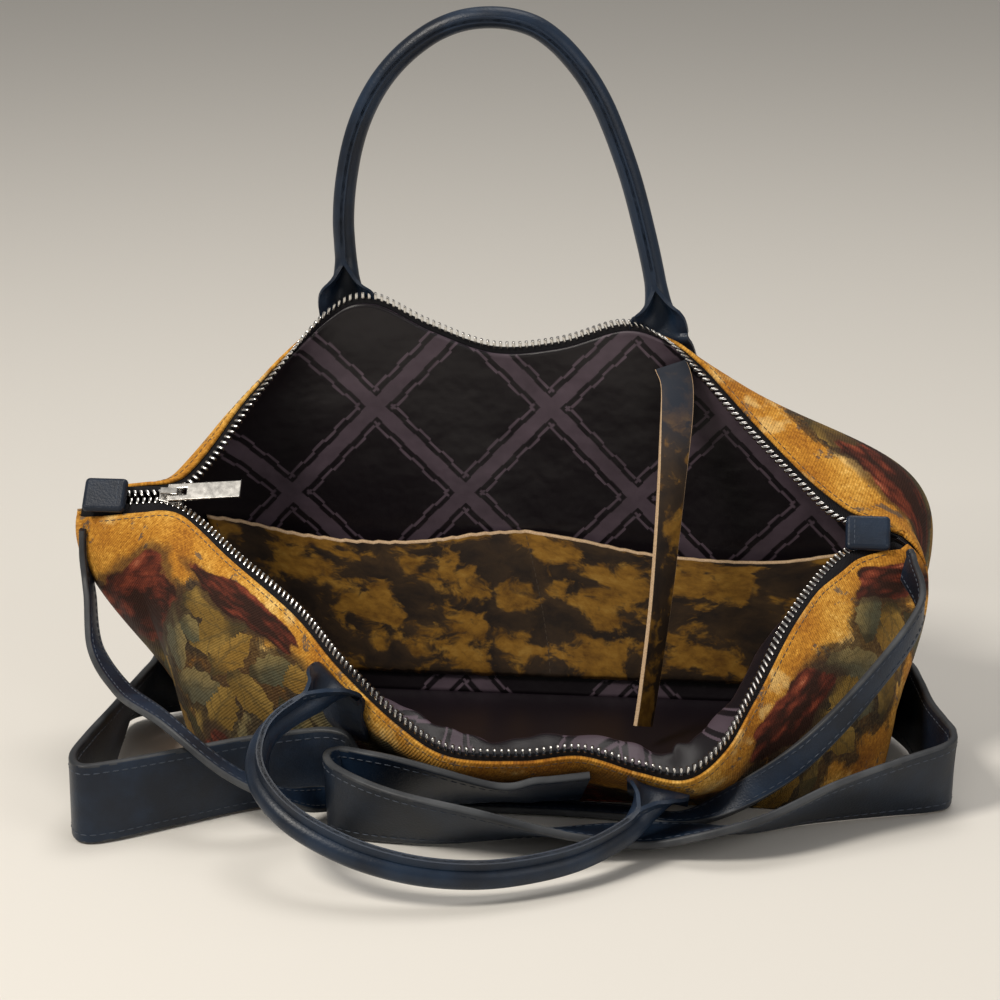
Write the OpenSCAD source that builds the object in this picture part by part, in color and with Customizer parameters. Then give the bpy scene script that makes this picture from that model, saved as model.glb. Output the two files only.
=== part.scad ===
// Tapestry tote that also carries as a backpack, standing on its base with the zip mouth open.
// X runs to the right, Y to the back, Z up. The origin is the middle of the base on the floor.
// Every soft panel is lofted from the base outline to the zip line through hand-chosen shares.

/* [Base] */
// Width of the base, side to side
base_w = 310; // [270:1:340]
// Depth of the base, front to back
base_d = 120; // [100:1:140]
// Corner radius of the base outline
base_r = 44; // [30:1:49]
// Thickness of the base panel
base_t = 2.4; // [1.6:0.1:3.2]

/* [Mouth] */
// Distance between the two ends of the zip
mouth_w = 363; // [340:1:385]
// How far the middle of the mouth lies to the left of the base's middle
mouth_lean = 24; // [10:1:35]
// How far forward the slumped front rim reaches
front_reach = 106; // [95:1:115]
// How far back the rear rim reaches
back_reach = 58; // [48:1:68]
// Height of the zip where the back handle holds it up
peak_h = 200; // [180:1:220]

/* [Walls] */
// Thickness of the tapestry wall
cloth_t = 1.6; // [1:0.1:2.2]
// Thickness of the lining
lining_t = 0.8; // [0.5:0.1:1.2]
// Gap kept between neighbouring layers
layer_gap = 0.3; // [0.3:0.05:0.4]
// How far the cloth shoulder swells beside the zip
shoulder_out = 34; // [26:1:40]
// How far the shoulder drops below the zip
shoulder_drop = 50; // [40:1:56]
// How far the belly swells beyond the base
belly_out = 30; // [22:1:36]
// How high above the base the belly sits
belly_up = 60; // [50:1:66]

/* [Zip] */
// Width of one tape from its toothed edge
tape_w = 13; // [11:0.5:15]
// Thickness of the tape
tape_t = 0.8; // [0.6:0.1:1]
// Distance from the teeth to the folded edge of the cloth
cloth_edge = 7; // [6:0.5:8]
// Distance from the teeth to the edge of the lining
lining_edge = 10; // [9:0.5:10.5]
// Spacing of the teeth along one row
tooth_pitch = 3; // [2.9:0.1:3.4]
// Width of one tooth along the row
tooth_w = 1.2; // [1:0.05:1.3]
// Length of one tooth across the row
tooth_l = 3.4; // [3:0.1:3.6]
// Thickness of one tooth
tooth_t = 2.2; // [1.8:0.1:2.4]
// Half the distance between the two rows where the zip is closed
row_half = 1.7; // [1.6:0.05:2]

/* [Slider] */
// Length of the slider body
slider_l = 10; // [9:0.5:11]
// Width of the slider body
slider_w = 9; // [8:0.5:10]
// Thickness of the slider's two plates
slider_plate = 1.1; // [0.9:0.1:1.4]
// Room between the slider's plates
slider_room = 4.8; // [4.4:0.1:5.2]
// Length of the pull
pull_l = 35; // [28:1:42]
// Width of the pull
pull_w = 8.5; // [7:0.5:10]
// Thickness of the pull
pull_t = 1.8; // [1.4:0.1:2.2]
// Width of the pull's end bar, which turns under the bridge
pull_bar = 1.8; // [1.4:0.1:2.2]
// Angle at which the pull lies, up from the zip
pull_tilt = 8; // [5:1:20]
// Angle by which the ends of the zip face the front
zip_roll = 45; // [30:1:55]
// Thickness of the bridge that holds the pull
bridge_t = 1.2; // [1:0.1:1.5]
// Width of the bridge that holds the pull
bridge_w = 3; // [2.5:0.1:3.5]

/* [End caps] */
// Length of a leather cap along the zip
cap_l = 20; // [18:0.5:21]
// Width of a leather cap across the zip
cap_w = 17; // [15:0.5:18]
// Height of a leather cap
cap_h = 4.5; // [3.5:0.1:6]

/* [Handles] */
// Rise of the back handle above its hinge line
handle_drop = 141; // [125:1:155]
// Reach of the front handle out from its hinge line
front_drop = 93; // [86:1:98]
// Thickness of the rolled part of a handle
roll_d = 10; // [8:0.5:11]
// Width of the stitched flange along a roll
flange_w = 5; // [4:0.5:6]
// Thickness of the stitched flange
flange_t = 3; // [2:0.2:3.4]
// Width of a handle end where it is sewn down
tab_w = 24; // [20:1:27]
// Length of the sewn-down handle end
tab_l = 26; // [22:1:28]
// Thickness of the sewn-down handle end
tab_t = 2; // [1.4:0.1:2.6]

/* [Straps] */
// Width of a shoulder strap
strap_w = 36; // [30:1:40]
// Thickness of a shoulder strap
strap_t = 3.6; // [3:0.1:4.2]
// Width of the narrow strap
cross_w = 12; // [10:0.5:14]
// Thickness of the narrow strap
cross_t = 3; // [2.4:0.1:3.4]

/* [Inside] */
// Height of the pocket's top edge above the floor
pocket_h = 84; // [72:1:94]
// How far the pocket stands off the lining
pocket_room = 8; // [6:0.5:10]
// Thickness of the pocket leather
pocket_t = 1.4; // [1:0.1:2]
// Width of the hanging strip
strip_w = 15; // [12:0.5:17]
// Thickness of the hanging strip
strip_t = 2; // [1.5:0.1:2.4]

/* [Hidden] */
tiny = 0.001;
half_share = 0.5;
// Steps along the zip line, down a wall, along a handle and round the base when lengths are added up
rim_steps = 120;
column_steps = 24;
loop_steps = 100;
base_steps = 30;
// Stretch over which the slope of a wall is measured
slope_step = 2;
slope_steps = 30;
// Clearances: handle hinges and sewn tabs off the cloth, tabs from their hinges, caps off the tapes
hinge_clear = 2.8;
tab_clear = 0.9;
front_tab_gap = 1.5;
back_tab_gap = 0.5;
left_cap_clear = 2.1;
right_cap_clear = 0.75;
// Clearances: narrow strap off the cloth, pocket and hanging strip off the lining, pull bar in its bridge
cross_clear = 1.5;
pocket_clear = 0.9;
strip_clear = 2.2;
bar_clear = 0.6;
// Columns of the wall grid: left of the handles, between them, right of them
cols_left = 15;
cols_mid = 11;
cols_right = 12;
// Rows of the wall grid below the zip tape
rows_low = 6;
// Where the handles are sewn, as shares of the zip's length, in front and behind
front_handle_shares = [0.35, 0.655];
back_handle_shares = [0.355, 0.675];
// How much of the zip's length the wall needs to turn round an end
turn_share = 0.04;
// Zip line of the front wall: across, forward and up
front_rim_shares = [
    [-1.028, 0, 0.565], [-0.92, 0, 0.57], [-0.86, 0, 0.574], [-0.825, 0.008, 0.576],
    [-0.785, 0.026, 0.57], [-0.745, 0.06, 0.556], [-0.69, 0.13, 0.532], [-0.61, 0.25, 0.495],
    [-0.43, 0.5, 0.42], [-0.3, 0.74, 0.345], [-0.15, 0.925, 0.26], [-0.03, 1, 0.21],
    [0.14, 1, 0.205], [0.28, 0.97, 0.215], [0.42, 0.98, 0.185], [0.53, 0.96, 0.17],
    [0.61, 0.86, 0.215], [0.67, 0.68, 0.295], [0.76, 0.39, 0.425], [0.88, 0.06, 0.51],
    [1, 0.01, 0.535]];
// Zip line of the back wall: across, backward and up
back_rim_shares = [
    [-1.028, 0, 0.565], [-0.92, 0, 0.57], [-0.86, 0, 0.574], [-0.825, 0.014, 0.576],
    [-0.785, 0.047, 0.585], [-0.745, 0.105, 0.61], [-0.69, 0.22, 0.67], [-0.6, 0.43, 0.79],
    [-0.44, 0.7, 0.965], [-0.33, 0.78, 1.005], [-0.18, 0.84, 0.94], [-0.02, 0.92, 0.885],
    [0.15, 0.92, 0.9], [0.31, 0.84, 0.95], [0.41, 0.78, 0.925], [0.49, 0.7, 0.865],
    [0.62, 0.46, 0.75], [0.77, 0.22, 0.63], [0.87, 0.08, 0.56], [1, 0.01, 0.535]];
// Swell of the walls at nine even places from the left seam to the right seam
front_shoulder_shares = [0.55, 0.6, 0.5, 0.28, 0, 0, 0.24, 0.6, 0.55];
front_drop_shares = [0.25, 0.2, 0.4, 0.56, 0.4, 0.3, 0.44, 0.3, 0.45];
back_shoulder_shares = [0.5, 0.4, 0.3, 0.1, 0.22, 0.12, 0.5, 1, 0.55];
back_drop_shares = [-0.4, -0.3, 0.2, 0.95, 0.7, 0.9, 0.1, -0.4, -0.25];
front_belly_shares = [0.3, 0.5, 0.35, 0.15, 0.2, 0.25, 0.4, 0.4, 0.2];
front_lift_shares = [0.62, 0.5, 0.45, 0.36, 0.24, 0.22, 0.32, 0.52, 0.66];
back_belly_shares = [0.3, 0.5, 0.5, 0.4, 0.4, 0.4, 0.45, 0.3, 0.2];
back_lift_shares = [0.62, 0.6, 1, 1.1, 1, 1, 1, 0.84, 0.66];
// Push of the shoulders sideways, to the right, at the same places
front_push_shares = [0, 0, 0, 0, 0, 0, 0, 0.3, 0.8];
back_push_shares = [0, -0.65, -0.6, 0, 0, 0.4, 1.3, 2.8, 0.8];
// Swell and drop of the shoulder at the two seams
left_end_shares = [0.5, 0.75];
right_end_shares = [0.2, 0.2];
// Loop of the back handle: along the hinge line and away from it
back_loop_shares = [
    [-1, 0], [-1.02, 0.12], [-1.06, 0.34], [-1, 0.59], [-0.82, 0.79], [-0.52, 0.935], [-0.19, 0.985],
    [0.14, 0.95], [0.46, 0.79], [0.7, 0.55], [0.87, 0.3], [0.965, 0.12], [1, 0]];
// Loop of the front handle: along the hinge line and away from it
front_loop_shares = [
    [-1, 0], [-1.05, 0.15], [-1.15, 0.31], [-1.21, 0.5], [-1.13, 0.74], [-0.87, 0.92], [-0.5, 1],
    [-0.14, 0.99], [0.18, 0.91], [0.45, 0.78], [0.72, 0.58], [0.91, 0.34], [0.98, 0.15], [1, 0]];
// Left shoulder strap: across, back, lift off the floor, lean
left_strap_shares = [
    [-1.208, 0.1, 0.06, 0.28], [-1.217, -0.4, 0.02, 0.2], [-1.215, -1, 0, 0.08], [-1.225, -1.6, 0, 0],
    [-1.23, -2, 0, 0], [-1.19, -2.2, 0, 0], [-1.11, -2.13, 0, 0], [-0.95, -1.84, 0, 0.05],
    [-0.78, -1.53, 0, 0.08], [-0.62, -1.34, 0, 0.06]];
// Right shoulder strap: across, back, lift off the floor, lean
right_strap_shares = [
    [1.11, 0.1, 0.05, -0.06], [1.14, -0.28, 0, -0.04], [1.18, -0.62, 0, 0], [1.2, -0.88, 0, 0.02],
    [1.165, -1.08, 0, 0.16], [1.02, -1.28, 0, 0.31], [0.83, -1.53, 0, 0.48], [0.61, -1.85, 0, 0.7],
    [0.37, -1.84, 0, 0.9], [0.13, -2, 0, 0.78], [-0.14, -2.16, 0, 0.5], [-0.33, -2.13, 0, 0.34],
    [-0.47, -1.99, 0, 0.16], [-0.525, -1.8, 0, 0.03], [-0.49, -1.66, 0, 0.03], [-0.38, -1.69, 0.1, 0.3]];
// Narrow strap: across, back, up and how far its width turns from level to upright
cross_shares = [
    [-1.365, -0.14, 0.35, 0], [-1.29, -0.58, 0.26, 0], [-1.16, -1.18, 0.23, 0], [-0.99, -1.74, 0.225, 0],
    [-0.8, -1.98, 0.145, 0], [-0.64, -1.88, 0.075, 0], [-0.545, -1.52, 0.03, 0.3], [-0.4, -1.36, 0.01, 0],
    [-0.2, -1.3, 0.004, 0], [0.06, -1.3, 0.004, 0], [0.28, -1.34, 0.004, 0], [0.45, -1.43, 0.006, 0.05],
    [0.6, -1.48, 0.065, 0.6], [0.78, -1.48, 0.17, 0.9], [0.96, -1.18, 0.3, 1], [1.1, -0.7, 0.42, 1]];
// Hanging strip: across, back and up from its sewn end to the bag's floor, and how far it turns to its side
strip_shares = [
    [0.375, 0.46, 0.64, 0.4], [0.352, 0.22, 0.36, 0.6], [0.325, 0, 0.16, 0.68], [0.31, -0.1, 0.07, 0.7]];
strip_place_share = 0.682;
// Ends and waviness of the pocket
pocket_ends_shares = [0.14, 0.86];
pocket_wave_shares = [1.16, 1.02, 0.98, 1.02, 1.0, 0.93, 0.92, 1.04];
pocket_foot_share = 0.14;
pocket_cols = 20;
pocket_rows = 5;
puff_power = 0.7;
// Places of the sewn strap ends along the walls and up them
strap_foot_shares = [0.13, 0.07];
strap_foot_up_share = 0.635;
strap_foot_off_share = 0.07;
left_head_shares = [[0.32, 0.18], [0.36, 0.2], [0.405, 0.085]];
left_head_up_share = 0.68;
right_head_shares = [[0.5, 0.06], [0.54, 0.03], [0.58, 0.02]];
right_head_up_share = 0.62;
cross_end_share = 0.12;
slider_place_share = 0.085;
// Outlines of the slider's plates and of the post between them
plate_shares = [[-0.5, -0.33], [0.1, -0.5], [0.5, -0.42], [0.5, 0.42], [0.1, 0.5], [-0.5, 0.33]];
wedge_shares = [[0.36, -0.04], [0.5, -0.05], [0.5, 0.05], [0.36, 0.04]];
// Lengths of the bridge and of the pull's slot
bridge_share = 0.8;
slot_share = 0.75;
// Sections of a roll: share of the flat end that remains, ring by ring, and its thinning at the hinge
open_shares = [1, 1, 1, 0.82, 0.45, 0.12, 0];
open_thin_shares = [0.25, 0.75, 1, 1, 1, 1, 1];
// Places of those rings: in half thicknesses of the flat end, then in half thicknesses of the roll
flat_place_shares = [-0.95, -0.7, 0];
roll_place_shares = [1.6, 3.4, 5.4, 7.4];
end_share = 0.62;
end_top_share = 0.1;
apex_share = 0.85;
seam_angle = 65;
roll_sides = 9;
roll_rings = 26;
strap_rings = 3;
// Outline of a sewn-down handle end, from its top to its tip
tab_wide_shares = [0.9, 1, 0.92, 0.62];

cloth = [0.62, 0.43, 0.16];
satin = [0.13, 0.09, 0.13];
navy = [0.09, 0.12, 0.19];
dark = [0.05, 0.05, 0.08];
metal = [0.72, 0.73, 0.75];
printed = [0.36, 0.23, 0.11];

cloth_in = tape_t / 2 + layer_gap;
cloth_out = cloth_in + cloth_t;
lining_out = tape_t / 2 + layer_gap;
lining_in = lining_out + lining_t;
tape_top = tooth_l - row_half - layer_gap;
hinge_r = tab_t * half_share + layer_gap;
hinge_off = cloth_out + hinge_clear + hinge_r;
hinge_d = cloth_edge;
tab_in = cloth_out + tab_clear;
cross_d = peak_h * cross_end_share;

function mix(a, b, u) = a + (b - a) * u;
function unit(v) = v / max(norm(v), tiny);
function ease(u) = let (c = min(1, max(0, u))) c * c * (3 - 2 * c);
function across(v, along) = unit(v - along * (v * along));
function spline(p, u) =
    let (n = len(p) - 1, i = min(n - 1, max(0, floor(u))), f = u - i,
         a = p[max(0, i - 1)], b = p[i], c = p[i + 1], d = p[min(n, i + 2)])
    b + ((c - a) * f + (2 * a - 5 * b + 4 * c - d) * f * f + (3 * b - a - 3 * c + d) * f * f * f) / 2;
function even(list, t) = spline(list, t * (len(list) - 1));
function spline_lengths(p, n) =
    [for (i = 0, s = 0; i <= n; i = i + 1,
          s = s + norm(even(p, min(1, i / n)) - even(p, (i - 1) / n))) [s, i / n]];
function run_lengths(p) =
    [for (i = 0, s = 0; i < len(p); i = i + 1,
          s = s + (i < len(p) ? norm(p[i] - p[i - 1]) : 0)) s];
function at(keys, points, k) =
    [for (a = [0:2]) lookup(k, [for (i = [0:len(keys) - 1]) [keys[i], points[i][a]]])];

// Base outline, walked from the middle of the left end to the middle of the right end
function base_walk() =
    let (side = base_d / 2 - base_r, arc = base_r * PI / 2, run = base_w - 2 * base_r)
    [side, side + arc, side + arc + run, side + 2 * arc + run, 2 * side + 2 * arc + run];
function base_xy(t) =
    let (w = base_walk(), s = t * w[4], cx = base_w / 2 - base_r, cy = base_d / 2 - base_r)
    s < w[0] ? [-base_w / 2, s] :
    s < w[1] ? let (q = 90 * (s - w[0]) / (w[1] - w[0])) [-cx - base_r * cos(q), cy + base_r * sin(q)] :
    s < w[2] ? [-cx + s - w[1], base_d / 2] :
    s < w[3] ? let (q = 90 * (s - w[2]) / (w[3] - w[2])) [cx + base_r * sin(q), cy + base_r * cos(q)] :
    [base_w / 2, w[4] - s];
function base_out(t) =
    let (w = base_walk(), s = t * w[4],
         q = s < w[0] ? 0 : s < w[1] ? 90 * (s - w[0]) / (w[1] - w[0]) :
             s < w[2] ? 90 : s < w[3] ? 90 + 90 * (s - w[2]) / (w[3] - w[2]) : 180)
    [-cos(q), sin(q), 0];

// Zip lines
function rim_points(side) =
    [for (s = side < 0 ? front_rim_shares : back_rim_shares)
        [s[0] * mouth_w / 2 - mouth_lean,
         side * (row_half * cos(zip_roll) + s[1] * (side < 0 ? front_reach : back_reach)),
         s[2] * peak_h + side * row_half * sin(zip_roll)]];
front_rim = rim_points(-1);
back_rim = rim_points(1);
front_walk = spline_lengths(front_rim, rim_steps);
back_walk = spline_lengths(back_rim, rim_steps);
front_zip_l = front_walk[rim_steps][0];
back_zip_l = back_walk[rim_steps][0];
function zip_l(side) = side < 0 ? front_zip_l : back_zip_l;
function rim_at(side, t) =
    even(side < 0 ? front_rim : back_rim, lookup(t * zip_l(side), side < 0 ? front_walk : back_walk));
function rim_out(side, t) =
    let (v = rim_at(side, min(1, t + turn_share / 2)) - rim_at(side, max(0, t - turn_share / 2)),
         n = unit([-v[1], v[0], 0]) * side, w = ease(min(t, 1 - t) / turn_share),
         e = [t < half_share ? -1 : 1, 0, 0])
    unit(mix(e, n, w));

// One column of a wall: base, belly, shoulder and rim
function wall_column(side, t) =
    let (w = ease(min(t, 1 - t) / turn_share), e = t < half_share ? left_end_shares : right_end_shares,
         f = base_xy(t), foot = [f[0], side * max(f[1], layer_gap), 0],
         bo = base_out(t), out = [bo[0], side * bo[1], 0], rim = rim_at(side, t),
         so = mix(e[0], even(side < 0 ? front_shoulder_shares : back_shoulder_shares, t), w),
         sd = mix(e[1], even(side < 0 ? front_drop_shares : back_drop_shares, t), w),
         sp = even(side < 0 ? front_push_shares : back_push_shares, t),
         go = even(side < 0 ? front_belly_shares : back_belly_shares, t),
         gu = even(side < 0 ? front_lift_shares : back_lift_shares, t))
    [foot, foot + out * belly_out * go + [0, 0, belly_up * gu],
     rim + rim_out(side, t) * shoulder_out * so + [shoulder_out * sp, 0, -shoulder_drop * sd], rim];
function bezier(c, u) =
    c[0] * pow(1 - u, 3) + c[1] * 3 * u * pow(1 - u, 2) + c[2] * 3 * u * u * (1 - u) + c[3] * pow(u, 3);
function column_walk(c, n) =
    [for (i = 0, s = 0; i <= n; i = i + 1,
          s = s + norm(bezier(c, 1 - i / n) - bezier(c, 1 - (i - 1) / n))) [s, 1 - i / n]];

function handle_shares(side) = side < 0 ? front_handle_shares : back_handle_shares;
// Grid of a wall: columns from left to right, rows from the zip down
function wall_places(side) =
    let (w = tab_w / 2 / zip_l(side), h = handle_shares(side), a = h[0], b = h[1])
    concat([for (i = [0:cols_left - 1]) mix(0, a - w, i / cols_left)], [a - w, a, a + w],
           [for (i = [1:cols_mid - 1]) mix(a + w, b - w, i / cols_mid)], [b - w, b, b + w],
           [for (i = [1:cols_right]) mix(b + w, 1, i / cols_right)]);
tab_columns = [cols_left + 1, cols_left + cols_mid + 3];
function wall_depths(length) =
    concat([tape_top, cloth_edge, lining_edge, tape_w],
           [for (k = [1:rows_low]) mix(tape_w, length, k / rows_low)]);
function wall_grid(side) =
    [for (t = wall_places(side))
        let (c = wall_column(side, t), walk = column_walk(c, column_steps))
        [for (d = wall_depths(walk[column_steps][0])) bezier(c, lookup(d, walk))]];
front_grid = wall_grid(-1);
back_grid = wall_grid(1);
function grid(side) = side < 0 ? front_grid : back_grid;
last_row = 3 + rows_low;
function wall_normal(side, j, i) =
    let (g = grid(side), n = len(g) - 1,
         a = g[min(n, j + 1)][i] - g[max(0, j - 1)][i],
         b = g[j][min(last_row, i + 1)] - g[j][max(0, i - 1)],
         v = cross(a, b) * side, end = j == 0 || j == n, foot = i == last_row)
    unit([v[0], end ? 0 : v[1], foot ? 0 : v[2]]);
front_normals = [for (j = [0:len(front_grid) - 1]) [for (i = [0:last_row]) wall_normal(-1, j, i)]];
back_normals = [for (j = [0:len(back_grid) - 1]) [for (i = [0:last_row]) wall_normal(1, j, i)]];
function normals(side) = side < 0 ? front_normals : back_normals;
function layer(side, js, is, off) =
    [for (j = js) [for (i = is) grid(side)[j][i] + normals(side)[j][i] * off]];

// Point on a wall, measured along the walls' own facets by place and depth
function near_column(side, t) =
    let (p = wall_places(side)) lookup(t, [for (i = [0:len(p) - 1]) [p[i], i]]);
function column_keys(side, j) = run_lengths(grid(side)[j]);
function column_at(side, j, d, off) =
    let (k = column_keys(side, j))
    at(k, grid(side)[j], d) + unit(at(k, normals(side)[j], d)) * off;
function wall_at(side, t, d, off) =
    let (q = near_column(side, t), j = floor(q), n = len(grid(side)) - 1)
    mix(column_at(side, j, d, off), column_at(side, min(n, j + 1), d, off), q - j);
function depth_at_height(side, t, z) =
    let (j = round(near_column(side, t)), g = grid(side)[j], k = column_keys(side, j))
    lookup(z, [for (i = [last_row:-1:0]) [g[i][2], k[i]]]);
function wall_up(side, t, d) =
    unit(wall_at(side, t, d - slope_step, 0) - wall_at(side, t, d + slope_step, 0));

// Closed skin between two grids of points; flip turns it inside out for the front wall
module skin(a, b, flip) {
    c = len(a);
    r = len(a[0]);
    m = c * r;
    tops = [for (j = [0:c - 2], i = [0:r - 2]) each
        [[j * r + i, (j + 1) * r + i + 1, (j + 1) * r + i],
         [j * r + i, j * r + i + 1, (j + 1) * r + i + 1]]];
    unders = [for (f = tops) [f[2] + m, f[1] + m, f[0] + m]];
    rows = [for (j = [0:c - 2]) each
        [[j * r, (j + 1) * r, (j + 1) * r + m], [j * r, (j + 1) * r + m, j * r + m],
         [j * r + r - 1, (j + 1) * r + r - 1 + m, (j + 1) * r + r - 1],
         [j * r + r - 1, j * r + r - 1 + m, (j + 1) * r + r - 1 + m]]];
    ends = [for (i = [0:r - 2]) each
        [[i, i + 1 + m, i + 1], [i, i + m, i + 1 + m],
         [m - r + i, m - r + i + 1, m - r + i + 1 + m], [m - r + i, m - r + i + 1 + m, m - r + i + m]]];
    all = concat(tops, unders, rows, ends);
    polyhedron(concat([for (q = a) each q], [for (q = b) each q]),
        flip ? [for (f = all) [f[2], f[1], f[0]]] : all, convexity = 10);
}

// Closed sweep through a list of rings
module sweep(rings, flip = false) {
    n = len(rings);
    m = len(rings[0]);
    sides = [for (i = [0:n - 2], k = [0:m - 1]) let (k2 = (k + 1) % m) each
        [[i * m + k, (i + 1) * m + k2, i * m + k2], [i * m + k, (i + 1) * m + k, (i + 1) * m + k2]]];
    caps = [for (k = [1:m - 2]) each
        [[0, k, k + 1], [(n - 1) * m, (n - 1) * m + k + 1, (n - 1) * m + k]]];
    all = concat(sides, caps);
    polyhedron([for (q = rings) each q],
        flip ? [for (f = all) [f[2], f[1], f[0]]] : all, convexity = 10);
}

// Flat strap along stations of middle and width direction
function strap_sections(stations, width, thick, fine) =
    let (mids = [for (s = stations) s[0]], ups = [for (s = stations) s[1]],
         n = (len(stations) - 1) * fine)
    [for (i = [0:n]) let (u = i / n, p = even(mids, u),
        t = unit(even(mids, min(1, u + tiny)) - even(mids, max(0, u - tiny))),
        w = across(even(ups, u), t) * width / 2, h = unit(cross(t, w)) * thick / 2)
        [p - w - h, p + w - h, p + w + h, p - w + h]];
// A station that rests its lower edge on the floor, leaning by a share of a right angle
function floor_station(s, before, after) =
    let (t = unit([after[0] - before[0], after[1] - before[1], 0]), lean = 90 * s[3],
         fwd = [t[1], -t[0], 0], f = fwd[1] > 0 ? -fwd : fwd)
    [[s[0], s[1], s[2] + strap_w / 2 * cos(lean) + strap_t / 2 * abs(sin(lean)) + layer_gap],
     [0, 0, cos(lean)] + f * sin(lean)];
function strap_route(shares) =
    let (p = [for (s = shares) [s[0] * base_w / 2, s[1] * base_d / 2, s[2] * strap_w, s[3]]],
         n = len(p) - 1)
    [for (i = [0:n]) floor_station(p[i], p[max(0, i - 1)], p[min(n, i + 1)])];
// A station sewn flat on a wall at a given height
function sewn_station(side, t, z, stand_off) =
    let (d = depth_at_height(side, t, z), off = cloth_out + layer_gap + strap_t / 2 + stand_off * strap_w)
    [wall_at(side, t, d, off), wall_up(side, t, d)];

module front_panel() color(cloth) wall(-1, cloth_in, cloth_out, [1:last_row]);
module back_panel() color(cloth) wall(1, cloth_in, cloth_out, [1:last_row]);
module lining_front() color(satin) wall(-1, -lining_in, -lining_out, [2:last_row - 1]);
module lining_back() color(satin) wall(1, -lining_in, -lining_out, [2:last_row - 1]);
module zip_tape_front() color(dark) wall(-1, -tape_t / 2, tape_t / 2, [0:3]);
module zip_tape_back() color(dark) wall(1, -tape_t / 2, tape_t / 2, [0:3]);
module wall(side, inner, outer, rows) {
    js = [0:len(grid(side)) - 1];
    skin(layer(side, js, rows, outer), layer(side, js, rows, inner), side < 0);
}

function base_point(i, inset) =
    let (t = i / base_steps, o = base_out(t)) base_xy(t) - [o[0], o[1]] * inset;
function base_ring(inset) =
    concat([for (i = [0:base_steps]) base_point(i, inset)],
           [for (i = [base_steps - 1:-1:1]) let (p = base_point(i, inset)) [p[0], -p[1]]]);
module base_panel()
    color(cloth) linear_extrude(base_t) polygon(base_ring(0));
module lining_base()
    color(satin) translate([0, 0, base_t + layer_gap]) linear_extrude(lining_t)
        polygon(base_ring(lining_in + layer_gap));

// Teeth
function tooth_row(side) = [for (c = grid(side)) c[0]];
function tooth_keys(side) = run_lengths(tooth_row(side));
module teeth(side, first, last, shift) {
    row = tooth_row(side);
    keys = tooth_keys(side);
    ups = [for (c = grid(side)) unit(c[0] - c[1])];
    for (s = [first + shift:tooth_pitch:last]) {
        p = at(keys, row, s);
        t = unit(at(keys, row, s + tooth_w) - at(keys, row, s - tooth_w));
        u = across(at(keys, ups, s), t);
        n = cross(t, u);
        o = p + u * (layer_gap + tooth_l / 2);
        multmatrix([[t[0], u[0], n[0], o[0]], [t[1], u[1], n[1], o[1]], [t[2], u[2], n[2], o[2]]])
            cube([tooth_w, tooth_l, tooth_t], center = true);
    }
}
row_first = cap_l + tooth_pitch;
row_last = cap_l + 3 * tooth_pitch;
module zip_teeth_front() color(metal) teeth(-1, row_first, front_zip_l - row_last, 0);
module zip_teeth_back() color(metal) teeth(1, row_first, back_zip_l - row_last, tooth_pitch / 2);

// Leather caps over the ends of the zip
module cap(t, dir, clear) {
    p = (rim_at(-1, t) + rim_at(1, t)) / 2;
    r = cap_h / 2;
    translate(p) rotate([zip_roll, 0, 0]) translate([0, 0, tape_t / 2 + clear + r]) hull()
        for (x = [r, cap_l - r], y = [-1, 1])
            translate([dir * x, y * (cap_w / 2 - r), 0]) sphere(r, $fn = 16);
}
module zip_cap_left() color(navy) cap(0, 1, left_cap_clear);
module zip_cap_right() color(navy) cap(1, -1, right_cap_clear);

// Slider and pull, in the slider's own frame: X along the zip, Z up
function zip_middle(t) = (rim_at(-1, t) + rim_at(1, t)) / 2;
slider_pos = zip_middle(slider_place_share);
slider_span = slider_l / front_zip_l;
slider_run = zip_middle(slider_place_share + slider_span) - zip_middle(slider_place_share - slider_span);
slider_slope = atan2(slider_run[2], slider_run[0]);
module slider_frame() translate(slider_pos) rotate([0, -slider_slope, 0]) rotate([zip_roll, 0, 0]) children();
bridge_l = slider_l * bridge_share;
bridge_h = pull_t + 2 * bar_clear;
plate_z = slider_room / 2;
module plate() linear_extrude(slider_plate)
    polygon([for (s = plate_shares) [s[0] * slider_l, s[1] * slider_w]]);
module zip_slider() color(metal) slider_frame() {
    translate([0, 0, plate_z]) plate();
    translate([0, 0, -plate_z - slider_plate]) plate();
    translate([0, 0, -plate_z - slider_plate / 2]) linear_extrude(slider_room + slider_plate)
        polygon([for (s = wedge_shares) [s[0] * slider_l, s[1] * slider_w]]);
    translate([-bridge_l / 2, -bridge_w / 2, plate_z + slider_plate / 2]) difference() {
        cube([bridge_l, bridge_w, slider_plate / 2 + bridge_h + bridge_t]);
        translate([bridge_t, -bridge_w, -bridge_t])
            cube([bridge_l - 2 * bridge_t, 3 * bridge_w, slider_plate / 2 + bridge_h + bridge_t]);
    }
}
module zip_pull() color(metal) slider_frame()
    translate([0, 0, plate_z + slider_plate + bar_clear + pull_t / 2]) rotate([0, -pull_tilt, 0])
    translate([0, 0, -pull_t / 2]) linear_extrude(pull_t) difference() {
        translate([-pull_bar / 2, -pull_w / 2]) square([pull_l, pull_w]);
        translate([pull_bar / 2, -bridge_w / 2 - layer_gap])
            square([slider_l * slot_share, bridge_w + 2 * layer_gap]);
    }

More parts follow.
